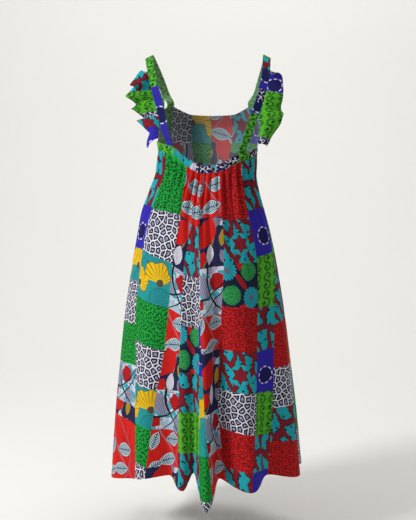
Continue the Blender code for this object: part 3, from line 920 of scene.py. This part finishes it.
def cloth_mesh(name, points, normals, thickness, triangles, print_index, place, cloth_place):
    """A closed thin shell round a grid of points, with its right and wrong sides told apart."""
    rows, columns = points.shape[:2]
    count = rows * columns
    outer = (points + normals * thickness / 2).reshape(-1, 3)
    inner = (points - normals * thickness / 2).reshape(-1, 3)
    index = np.arange(count).reshape(rows, columns)
    border = np.concatenate([index[0, :-1], index[:-1, -1], index[-1, :0:-1], index[:0:-1, 0]])
    following = np.roll(border, -1)
    rim = np.concatenate(
        [
            np.stack([following, border, border + count], -1),
            np.stack([following, border + count, following + count], -1),
        ]
    )
    middle = triangles[len(triangles) // 2]
    across = np.cross(outer[middle[1]] - outer[middle[0]], outer[middle[2]] - outer[middle[0]])
    turned = np.dot(across, normals.reshape(-1, 3)[middle[0]]) < 0
    inside = triangles[:, ::-1] + count
    faces = np.concatenate([triangles, inside, rim])
    if turned:
        faces = faces[:, ::-1]
    mesh = bpy.data.meshes.new(name)
    mesh.from_pydata(np.concatenate([outer, inner]).tolist(), [], faces.tolist())
    for motif in PRINT_NAMES:
        mesh.materials.append(PRINTS[motif])
    first_use = np.zeros(count, int)
    first_use[triangles[::-1].reshape(-1)] = np.repeat(np.arange(len(triangles))[::-1], 3)
    rim_owner = first_use[np.concatenate([border, border])]
    prints = np.concatenate([print_index, print_index, print_index[rim_owner]])
    mesh.polygons.foreach_set("material_index", prints.astype(np.int32))
    by_point = np.zeros((count, 2))
    by_point[triangles.reshape(-1)] = place.reshape(-1, 2)
    rim_place = by_point[rim % count]
    patch = np.concatenate([place, place[:, ::-1], rim_place])
    spread = cloth_place.reshape(-1, 2)
    cloth = np.concatenate([spread[triangles], spread[triangles[:, ::-1]], spread[rim % count]])
    if turned:
        patch = patch[:, ::-1]
        cloth = cloth[:, ::-1]
    mesh.uv_layers.new(name="patch").data.foreach_set("uv", patch.reshape(-1))
    mesh.uv_layers.new(name="cloth").data.foreach_set("uv", cloth.reshape(-1))
    side = mesh.attributes.new("wrong_side", "FLOAT", "POINT")
    side.data.foreach_set("value", np.repeat([0.0, 1.0], count).astype(np.float32))
    mesh.shade_smooth()
    mesh.set_sharp_from_angle(angle=math.radians(60))
    piece = bpy.data.objects.new(name, mesh)
    bpy.context.scene.collection.objects.link(piece)
    return piece


def run_across(points):
    """Each grid point's distance along the cloth from the grid's first column."""
    steps = np.linalg.norm(np.diff(points, axis=1), axis=-1)
    return np.concatenate([np.zeros((len(points), 1)), np.cumsum(steps, axis=1)], axis=1)


def spread_flat(points):
    """Each point's place on the cloth in metres, for the weave."""
    around_cloth = np.linalg.norm(np.diff(points, axis=1), axis=-1).mean(axis=0)
    down_cloth = np.linalg.norm(np.diff(points, axis=0), axis=-1).mean(axis=1)
    across = np.concatenate([[0], np.cumsum(around_cloth)])
    down = np.concatenate([[0], np.cumsum(down_cloth)])
    return np.stack(np.meshgrid(across, down), axis=-1)


def flat_area(points):
    """The area of a grid of points, in square metres."""
    a = points[1:, :-1] - points[:-1, :-1]
    b = points[:-1, 1:] - points[:-1, :-1]
    return float(np.linalg.norm(np.cross(a, b), axis=-1).sum())


def sewn_panel(name, strips, rows, cut, surface, thickness, finish=None):
    """A panel of the dress from its strips of patches."""
    angle, height, owners = laid_out(strips, rows, cut)
    triangles, column = triangles_of(angle, height, strips, owners)
    points = surface(angle, height)
    print_index, place = printed(strips, owners, triangles, column, height, run_across(points))
    turn, rise = 0.02, 0.0002
    round_body = surface(angle + turn, height) - surface(angle - turn, height)
    upwards = surface(angle, height + rise) - surface(angle, height - rise)
    normals = unit(np.cross(round_body, upwards))
    if finish is not None:
        points = points + normals * finish(angle, height)[..., None]
    piece = cloth_mesh(name, points, normals, thickness, triangles, print_index, place, spread_flat(points))
    return piece, points, normals


def strip(left, right, columns, patches, top=(0.0, 0.0), **more):
    return {"left": left, "right": right, "columns": columns, "patches": patches, "top": top, **more}


SKIRT_ROWS = 176
ROW_SHARES = np.linspace(0, 1, SKIRT_ROWS + 1) ** 1.12


def hem_finish(angle, height):
    """The turned-up hem stands a little proud, and the cloth dips beside each seam."""
    above_hem = height - around(HEM, angle)
    hem = 0.0006 / (1 + np.exp((above_hem - 0.0195) / 0.0006))
    dip = np.zeros(np.broadcast(angle, height).shape)
    for seam in (0.0, SIDE_SEAM, -SIDE_SEAM):
        away = np.radians(angle_between(angle, seam)) * 0.2
        pucker = 1 + 0.5 * np.sin(height * 330 + seam)
        dip -= 0.0011 * pucker * np.exp(-((away / 0.0035) ** 2))
    return hem + dip


def skirt_back_left():
    strips = [
        strip("left_side", "left_first", 40, [
            ("coral", -0.420, -0.424), ("royal_blue", -0.545, -0.545), ("teal_fan", -0.640, -0.636),
            ("leopard", -0.766, -0.760), ("green_dots", -0.885, -0.878), ("white_floral", -0.990, -1.000),
            ("navy_leaf", -1.035, -1.050), ("red_leaf", -1.29, -1.29)], top=(-0.262, -0.268)),
        strip("left_first", "left_second", 52, [
            ("green_dots", -0.424, -0.437), ("leopard", -0.543, -0.575), ("teal_fan", -0.676, -0.700),
            ("green_dots", -0.800, -0.822), ("leopard", -0.926, -0.936), ("teal_fan", -1.038, -1.050),
            ("green_dots", -1.150, -1.162), ("leopard", -1.29, -1.29)], top=(-0.268, -0.306)),
        strip("left_second", "left_third", 40, [
            ("red_leaf", -0.437, -0.462), ("navy_leaf", -0.578, -0.596), ("white_floral", -0.700, -0.716),
            ("red_leaf", -0.822, -0.826), ("navy_leaf", -0.936, -0.930), ("white_floral", -1.050, -1.052),
            ("red_leaf", -1.164, -1.150), ("navy_leaf", -1.28, -1.28)], top=(-0.306, -0.324)),
        strip("left_third", "centre", 40, [
            ("red_leaf", -0.462, -0.472), ("coral", -0.600, -0.612), ("leopard", -0.744, -0.752),
            ("circle_flowers", -0.876, -0.880), ("coral", -0.988, -0.992), ("green_scroll", -1.104, -1.110),
            ("coral", -1.26, -1.26)], top=(-0.324, -0.325)),
    ]
    return sewn_panel("skirt_back_left_cloth", strips, ROW_SHARES, skirt_cut, skirt_point, SKIRT_CLOTH,
        hem_finish)


def skirt_back_right():
    strips = [
        strip("centre", "ridge", 20, [
            ("red_leaf", -0.46, -0.46), ("coral", -0.60, -0.60), ("leopard", -0.74, -0.74),
            ("royal_blue", -0.88, -0.88), ("teal_fan", -1.104, -1.100), ("green_dots", -1.226, -1.230),
            ("leopard", -1.4, -1.4)], top=(-0.325, -0.325)),
        strip("ridge", "right_first", 46, [
            ("red_leaf", -0.447, -0.441), ("navy_leaf", -0.585, -0.577), ("white_floral", -0.716, -0.712),
            ("red_leaf", -0.818, -0.812), ("navy_leaf", -0.985, -0.985), ("white_floral", -1.105, -1.100),
            ("red_leaf", -1.26, -1.26)], top=(-0.325, -0.318)),
        strip("right_first", "right_second", 54, [
            ("red_crackle", -0.452, -0.448), ("coral_star", -0.569, -0.573), ("circle_flowers", -0.688,
                -0.701),
            ("red_crackle", -0.810, -0.824), ("coral_star", -0.924, -0.940), ("leopard", -1.036, -1.056),
            ("red_crackle", -1.150, -1.160), ("coral", -1.28, -1.28)], top=(-0.318, -0.292)),
        strip("right_second", "right_third", 40, [
            ("coral", -0.430, -0.425), ("royal_blue", -0.560, -0.550), ("green_scroll", -0.700, -0.700),
            ("coral", -0.826, -0.820), ("royal_blue", -0.940, -0.944), ("green_scroll", -1.056, -1.070),
            ("coral", -1.160, -1.172), ("royal_blue", -1.28, -1.28)], top=(-0.292, -0.281)),
        strip("right_third", "right_side", 34, [
            ("green_scroll", -0.56, -0.56), ("coral", -0.752, -0.740), ("red_crackle", -0.878, -0.872),
            ("leopard", -0.994, -0.990), ("coral", -1.092, -1.104), ("red_crackle", -1.30, -1.30)],
                top=(-0.281, -0.280)),
    ]
    return sewn_panel("skirt_back_right_cloth", strips, ROW_SHARES, skirt_cut, skirt_point,
        SKIRT_CLOTH, hem_finish)


# Runs of patches for the sides that face away, each in the order in which the print repeats
PRINT_RUNS = (
    ("green_dots", "leopard", "teal_fan"),
    ("red_leaf", "navy_leaf", "white_floral"),
    ("red_crackle", "coral_star", "circle_flowers"),
    ("coral", "royal_blue", "green_scroll"),
    ("coral", "leopard", "circle_flowers"),
)
PATCH_HEIGHT = 0.128


def run_of_patches(number, top, bottom):
    """A strip's patches from the print's repeat, from top to bottom."""
    names = PRINT_RUNS[number % len(PRINT_RUNS)]
    level = top - PATCH_HEIGHT * (0.35 + 0.65 * ((number * 0.37) % 1))
    patches = []
    step = number * 2
    while level > bottom:
        tilt = 0.006 * math.sin(number * 2.3 + step)
        patches.append((names[step % 3], level - tilt, level + tilt))
        level -= PATCH_HEIGHT
        step += 1
    return patches + [(names[step % 3], bottom - 0.2, bottom - 0.2)]


def skirt_front():
    edges = np.linspace(SIDE_SEAM, 360 - SIDE_SEAM, 8)
    strips = [
        strip(edges[k], edges[k + 1], 40, run_of_patches(k, -0.30, -1.25))
        for k in range(len(edges) - 1)
    ]
    rows = np.linspace(0, 1, 151) ** 1.1
    return sewn_panel("skirt_front_cloth", strips, rows, skirt_cut, skirt_point, SKIRT_CLOTH, hem_finish)


def whole(name, low=-1.4):
    return [(name, low, low)]


def back_casing():
    marks = (
        (-SIDE_SEAM, -46, "green_scroll"), (-46, -32, "teal_fan"), (-32, -23, "coral"), (-23, -12,
            "white_floral"),
        (-12, 12, "navy_dash"), (12, 18, "coral"), (18, 50, "navy_dash"), (50, 64, "green_scroll"),
        (64, SIDE_SEAM, "navy_dash"),
    )
    strips = []
    for left, right, name in marks:
        columns = max(8, round((right - left) * 3.2))
        strips.append(strip(float(left), float(right), columns, whole(name), top=(-0.24, -0.24)))
    rows = np.linspace(0, 1, 13)
    return sewn_panel("back_casing_cloth", strips, rows, casing_cut, casing_point, CASING_CLOTH)


def bodice_front():
    marks = (
        (SIDE_SEAM, 100, "navy_dash"), (100, 128, "royal_blue"), (128, 156, "coral_star"), (156, 182,
            "red_leaf"),
        (182, 206, "teal_fan"), (206, 232, "leopard"), (232, 258, "green_scroll"), (258,
            360 - SIDE_SEAM, "leopard"),
    )
    lower = ("coral", "green_scroll", "circle_flowers", "navy_leaf", "green_dots", "white_floral",
        "coral_star", "coral")
    strips = []
    for (left, right, name), below in zip(marks, lower):
        columns = round((right - left) * 1.5)
        patches = [(name, -0.252, -0.248), (below, -0.335, -0.335)]
        strips.append(strip(float(left), float(right), columns, patches, top=(-0.13, -0.13)))
    rows = np.linspace(0, 1, 61)
    return sewn_panel("bodice_front_cloth", strips, rows, bodice_cut, bodice_point, BODICE_CLOTH)


def grid_normals(grid, side):
    return unit(np.cross(np.gradient(grid, axis=1), np.gradient(grid, axis=0))) * side


def grid_piece(name, grid, side, thickness, length, patches):
    """A long piece from a grid of points, its patches told by metres down its length."""
    rows, columns = grid.shape[:2]
    down = -np.linspace(0, length, rows)
    line = strip(0.0, 1.0, columns - 1, patches, snap=length / rows)
    angle, height, owners = laid_out([line], np.linspace(0, 1, rows), lambda a, s: 0 * a + down[:, None])
    height = np.broadcast_to(down[:, None], (rows, columns)).copy()
    triangles, column = triangles_of(angle, height, [line], owners)
    print_index, place = printed([line], owners, triangles, column, height, run_across(grid))
    normals = grid_normals(grid, side)
    return cloth_mesh(name, grid, normals, thickness, triangles, print_index, place,
        spread_flat(grid)), normals


def tucked_rows(surface, cut, side, middle_angle, across, shares, depth):
    """Rows of a strap that lie inside a panel's upper edge, taken from the panel's own points."""
    angles = side * middle_angle + np.degrees(across / 0.135) * side
    angle, share = np.meshgrid(angles, shares)
    height = cut(angle, share)
    points = surface(angle, height)
    round_body = surface(angle + 0.05, height) - surface(angle - 0.05, height)
    upwards = surface(angle, height + 0.0002) - surface(angle, height - 0.0002)
    return points - unit(np.cross(round_body, upwards)) * depth


def plain_point(angle, height):
    return placed(angle, body_radius(angle, height), height)


def strap_grid(side, route, back_angle, steps=120, columns=12):
    across = np.linspace(-STRAP_WIDTH / 2, STRAP_WIDTH / 2, columns + 1)
    back = tucked_rows(plain_point, casing_cut, side, back_angle, across, STRAP_IN_CASING,
        STRAP_UNDER_CASING)
    front_angle = 180 - STRAP_ANGLE_FRONT
    front = tucked_rows(plain_point, bodice_cut, side, front_angle, -across, STRAP_IN_BODICE,
        STRAP_UNDER_BODICE)
    middle = np.stack([side * np.array(route["out"]), route["y"], route["z"]], axis=-1)
    facing = unit(np.stack([side * np.array(route["face_out"]), route["face_y"], route["face_z"]], axis=-1))
    running = unit(np.gradient(middle, axis=0))
    outward = unit(np.cross(running, facing))
    outward *= np.sign(outward[:, :1] * side)
    free = middle[:, None] + outward[:, None] * across[None, :, None]
    rows = np.concatenate([back, free, front])
    spans = np.linalg.norm(np.diff(rows.mean(axis=1), axis=0), axis=-1)
    lengths = np.concatenate([[0], np.cumsum(spans)])
    at = np.linspace(0, lengths[-1], steps + 1)
    grid = np.empty((len(at), len(across), 3))
    for j in range(len(across)):
        for k in range(3):
            grid[:, j, k] = smooth_through(lengths, rows[:, j, k], at)
    return grid, lengths[-1]


def strap(name, side, route, back_angle, marks):
    """A folded strap that ripples slightly."""
    grid, length = strap_grid(side, route, back_angle)
    patches = [(motif, -share * length, -share * length) for motif, share in marks]
    rows = np.linspace(0, 1, len(grid))
    ripple = 0.0005 * np.sin(rows * 46)[:, None] * np.linspace(-1, 1, grid.shape[1])[None, :]
    free = np.clip(np.minimum(rows - 0.10, 0.88 - rows) / 0.06, 0, 1)[:, None]
    normals = grid_normals(grid, side)
    grid = grid + normals * (ripple * free)[..., None]
    piece, normals = grid_piece(name, grid, side, STRAP_CLOTH, length, patches)
    return piece, grid, normals


def ruffle_seam(side, grid):
    """The line that the ruffle is sewn to: the strap's outer edge, then the bodice's armhole edge."""
    edge = grid[:, -1]
    outward = unit(edge - grid[:, -2])
    in_front = (edge[:, 1] > 0.03) & (edge[:, 2] > -0.125)
    on_strap = (edge + outward * RUFFLE_STANDOFF)[in_front]
    first = 180 - STRAP_ANGLE_FRONT - 8
    angles = side * np.linspace(first, SIDE_SEAM + 2.5, 24)
    on_bodice = plain_point(angles, bodice_cut(angles, 1.0))
    on_bodice[:, 2] += RUFFLE_STANDOFF
    line = np.concatenate([on_strap, on_bodice])
    spans = np.linalg.norm(np.diff(line, axis=0), axis=-1)
    lengths = np.concatenate([[0], np.cumsum(spans)])
    return lengths / lengths[-1], line


def pointed(phase):
    """A wave with straight flanks and narrow crests, from -1 to 1."""
    return np.arcsin(0.97 * np.cos(phase)) / math.asin(0.97)


def ruffle(name, side, strap_points, outline, marks, rows=240, columns=30):
    """A gathered strip that stands out from the armhole in waves."""
    places, line = ruffle_seam(side, strap_points)
    along = np.linspace(0, 1, rows + 1)
    seam = np.stack([np.interp(along, places, line[:, k]) for k in range(3)], axis=-1)
    edge = np.stack(
        [
            side * smooth_through(outline["along"], outline["out"], along),
            smooth_through(outline["along"], outline["y"], along),
            smooth_through(outline["along"], outline["z"], along),
        ],
        axis=-1,
    )
    running = unit(np.gradient((seam + edge) / 2, axis=0))
    facing = unit(np.cross(running, edge - seam)) * side
    hand = "left" if side < 0 else "right"
    phase = 2 * math.pi * RUFFLE_WAVES[hand] * along
    edge = edge + unit(edge - seam) * (RUFFLE_TIP[hand] * pointed(phase + 0.4))[:, None]
    wave = RUFFLE_WAVE_DEPTH * (0.6 * pointed(phase) + 0.4 * np.cos(phase))
    grid = np.empty((rows + 1, columns + 1, 3))
    for j in range(columns + 1):
        out = j / columns
        lift = RUFFLE_CROWN * 4 * out * (1 - out) + wave * out**1.3
        small = 0.0007 * np.cos(phase * 3.1) * np.exp(-((out / 0.16) ** 2))
        grid[:, j] = seam + out * (edge - seam) + facing * (lift + small)[:, None]
    length = 0.31
    patches = [(motif, -share * length, -share * length) for motif, share in marks]
    piece, normals = grid_piece(name, grid, -side, RUFFLE_CLOTH, length, patches)
    return piece, grid, normals


def stitch_rows(name, lines, pitch=0.0030, length=0.0020, width=0.0005, colour=(0.03, 0.05, 0.06)):
    """Short raised stitches along lines of points, in one mesh."""
    points = []
    faces = []
    for path, facing in lines:
        spans = np.linalg.norm(np.diff(path, axis=0), axis=-1)
        run = np.concatenate([[0], np.cumsum(spans)])
        starts = np.arange(0, run[-1] - length, pitch)
        for start in starts:
            ends = []
            for at in (start, start + length):
                ends.append(np.array([np.interp(at, run, path[:, k]) for k in range(3)]))
            up = unit(np.array([np.interp(start, run, facing[:, k]) for k in range(3)]))
            along = unit(ends[1] - ends[0])
            across = np.cross(along, up) * width / 2
            middle = (ends[0] + ends[1]) / 2 + up * width * 0.9
            base = len(points)
            points += [ends[0] - across, ends[0] + across, ends[1] + across, ends[1] - across]
            points += [middle - across * 0.7, middle + across * 0.7]
            faces += [
                (base, base + 1, base + 5, base + 4),
                (base + 4, base + 5, base + 2, base + 3),
                (base, base + 4, base + 3),
                (base + 1, base + 2, base + 5),
                (base, base + 3, base + 2, base + 1),
            ]
    mesh = bpy.data.meshes.new(name)
    mesh.from_pydata([tuple(p) for p in points], [], faces)
    mesh.materials.append(thread(name, colour))
    piece = bpy.data.objects.new(name, mesh)
    bpy.context.scene.collection.objects.link(piece)
    return piece


def thread(name, colour):
    material = bpy.data.materials.new(name + "_thread")
    material.use_nodes = True
    tree = material.node_tree
    shader = tree.nodes["Principled BSDF"]
    coords = tree.nodes.new("ShaderNodeTexCoord")
    twist = tree.nodes.new("ShaderNodeTexNoise")
    twist.inputs["Scale"].default_value = 900
    tree.links.new(coords.outputs["Object"], twist.inputs["Vector"])
    ramp = tree.nodes.new("ShaderNodeMix")
    ramp.data_type = "RGBA"
    ramp.inputs[6].default_value = (*colour, 1)
    ramp.inputs[7].default_value = (*(min(1, c * 1.8 + 0.02) for c in colour), 1)
    tree.links.new(twist.outputs["Fac"], ramp.inputs["Factor"])
    tree.links.new(ramp.outputs[2], shader.inputs["Base Color"])
    shader.inputs["Roughness"].default_value = 0.6
    return material


def declare(piece, node):
    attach(piece, "root")
    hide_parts(node)


def dress():
    """The cut pieces of the dress, then the stitches that hold them."""
    left, left_points, left_normals = skirt_back_left()
    right, right_points, right_normals = skirt_back_right()
    front, front_points, front_normals = skirt_front()
    casing, casing_points, casing_normals = back_casing()
    bodice, bodice_points, bodice_normals = bodice_front()
    strap_l, strap_l_points, strap_l_normals = strap(
        "strap_left_cloth", -1, STRAP_LEFT, STRAP_ANGLE_BACK["left"],
        (("green_scroll", 0.0), ("royal_blue", 0.36), ("green_scroll", 1.2)))
    strap_r, strap_r_points, strap_r_normals = strap(
        "strap_right_cloth", 1, STRAP_RIGHT, STRAP_ANGLE_BACK["right"],
        (("green_scroll", 0.25), ("royal_blue", 0.31), ("navy_dash", 0.38), ("royal_blue", 0.50),
         ("coral", 0.58), ("green_dots", 1.2)))
    ruffle_l, ruffle_l_points, ruffle_l_normals = ruffle(
        "ruffle_left_cloth", -1, strap_l_points, RUFFLE_LEFT,
        (("coral", 0.34), ("green_scroll", 0.66), ("navy_dash", 0.72), ("coral_star", 0.86),
            ("royal_blue", 1.2)))
    ruffle_r, ruffle_r_points, ruffle_r_normals = ruffle(
        "ruffle_right_cloth", 1, strap_r_points, RUFFLE_RIGHT,
        (("navy_dash", 0.12), ("royal_blue", 0.34), ("green_scroll", 0.92), ("navy_dash", 1.2)))
    for piece, node, slot, points, held in (
        (left, "skirt_back_left", "patchwork_cotton", left_points, "gathered"),
        (right, "skirt_back_right", "patchwork_cotton", right_points, "gathered"),
        (front, "skirt_front", "patchwork_cotton", front_points, "gathered"),
        (casing, "back_casing", "casing_cotton", casing_points, "gathered"),
        (bodice, "bodice_front", "patchwork_cotton", bodice_points, "stretched"),
        (strap_l, "strap_left", "strap_cotton", strap_l_points, "stretched"),
        (strap_r, "strap_right", "strap_cotton", strap_r_points, "stretched"),
        (ruffle_l, "ruffle_left", "ruffle_cotton", ruffle_l_points, "gathered"),
        (ruffle_r, "ruffle_right", "ruffle_cotton", ruffle_r_points, "gathered"),
    ):
        area = flat_area(points)
        declare(piece, node)
    skirts = (
        (left_points, left_normals), (right_points, right_normals), (front_points, front_normals))
    sewn("hem_stitches", [(points[-4], normals[-4], SKIRT_CLOTH) for points, normals in skirts],
        pitch=0.0034)
    sewn("casing_stitches", [(casing_points[row], casing_normals[row], CASING_CLOTH) for row in (1, -2)])
    sewn("neck_stitches", [(bodice_points[-3], bodice_normals[-3], BODICE_CLOTH)])
    straps = ((strap_l_points, strap_l_normals), (strap_r_points, strap_r_normals))
    sewn("strap_stitches", [
        (points[8:-8, column], normals[8:-8, column], STRAP_CLOTH)
        for points, normals in straps for column in (1, -2)], colour=(0.02, 0.07, 0.03))
    ruffles = ((ruffle_l_points, ruffle_l_normals), (ruffle_r_points, ruffle_r_normals))
    sewn("ruffle_stitches", [(points[:, -3], normals[:, -3], RUFFLE_CLOTH) for points, normals in ruffles])


def sewn(name, pieces, colour=(0.03, 0.05, 0.06), **sizes):
    """One mesh of stitches that lie on the right side of cloth pieces."""
    lines = [(points + normals * (thickness / 2 + 0.0001), normals) for points, normals,
        thickness in pieces]
    piece = stitch_rows(name, lines, colour=colour, **sizes)
    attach(piece, "root")


PHOTO_HEIGHT = 520
FOCAL_PIXELS = 1035
SENSOR_HEIGHT = 24
CAMERA_DISTANCE = 3.0
CAMERA_HEIGHT = -0.10
CAMERA_TURN = 6.0
CAMERA_PITCH = 9.2
FLOOR_HEIGHT = -1.42


def studio():
    """A pale floor that curves up into a backdrop, soft lights and the camera."""
    profile = [(-5.0, 0.0), (1.6, 0.0)]
    for k in range(1, 13):
        turn = math.radians(7.5 * k)
        profile.append((1.6 + 1.6 * math.sin(turn), 1.6 - 1.6 * math.cos(turn)))
    profile.append((3.2, 6.0))
    points = [(x, y, z + FLOOR_HEIGHT) for x in (-7.0, 7.0) for y, z in profile]
    count = len(profile)
    faces = [(k, k + 1, k + 1 + count, k + count) for k in range(count - 1)]
    mesh = bpy.data.meshes.new("floor")
    mesh.from_pydata(points, [], faces)
    mesh.shade_smooth()
    floor = bpy.data.objects.new("floor", mesh)
    bpy.context.scene.collection.objects.link(floor)
    material = bpy.data.materials.new("floor_paper")
    material.use_nodes = True
    shader = material.node_tree.nodes["Principled BSDF"]
    shader.inputs["Base Color"].default_value = (0.93, 0.92, 0.89, 1)
    shader.inputs["Roughness"].default_value = 0.9
    mesh.materials.append(material)
    world = bpy.data.worlds.new("studio")
    world.use_nodes = True
    world.node_tree.nodes["Background"].inputs["Color"].default_value = (1.0, 0.99, 0.97, 1)
    world.node_tree.nodes["Background"].inputs["Strength"].default_value = 0.20
    bpy.context.scene.world = world
    for name, place, target, size, power in (
        ("key", (-2.9, -2.2, 1.5), (0, 0, -0.7), 0.9, 126),
        ("fill", (2.2, -2.8, 0.4), (0, 0, -0.7), 1.6, 8),
        ("back", (0.4, 0.9, 2.6), (0, 2.6, -1.2), 2.6, 62),
    ):
        light = bpy.data.lights.new(name, "AREA")
        light.size = size
        light.energy = power
        lamp = bpy.data.objects.new(name, light)
        lamp.location = place
        aim(lamp, target)
        bpy.context.scene.collection.objects.link(lamp)
    camera = bpy.data.cameras.new("camera")
    camera.sensor_fit = "VERTICAL"
    camera.sensor_height = SENSOR_HEIGHT
    camera.lens = FOCAL_PIXELS / PHOTO_HEIGHT * SENSOR_HEIGHT
    view = bpy.data.objects.new("camera", camera)
    turn = math.radians(CAMERA_TURN)
    drop = CAMERA_DISTANCE * math.tan(math.radians(CAMERA_PITCH))
    view.location = (CAMERA_DISTANCE * math.sin(turn), -CAMERA_DISTANCE * math.cos(turn), CAMERA_HEIGHT)
    aim(view, (0.0, 0.0, CAMERA_HEIGHT - drop))
    bpy.context.scene.collection.objects.link(view)
    bpy.context.scene.camera = view
    bpy.context.scene.view_settings.view_transform = "Standard"


def aim(thing, target):
    thing.rotation_euler = (Vector(target) - thing.location).to_track_quat("-Z", "Y").to_euler()


studio()
dress()
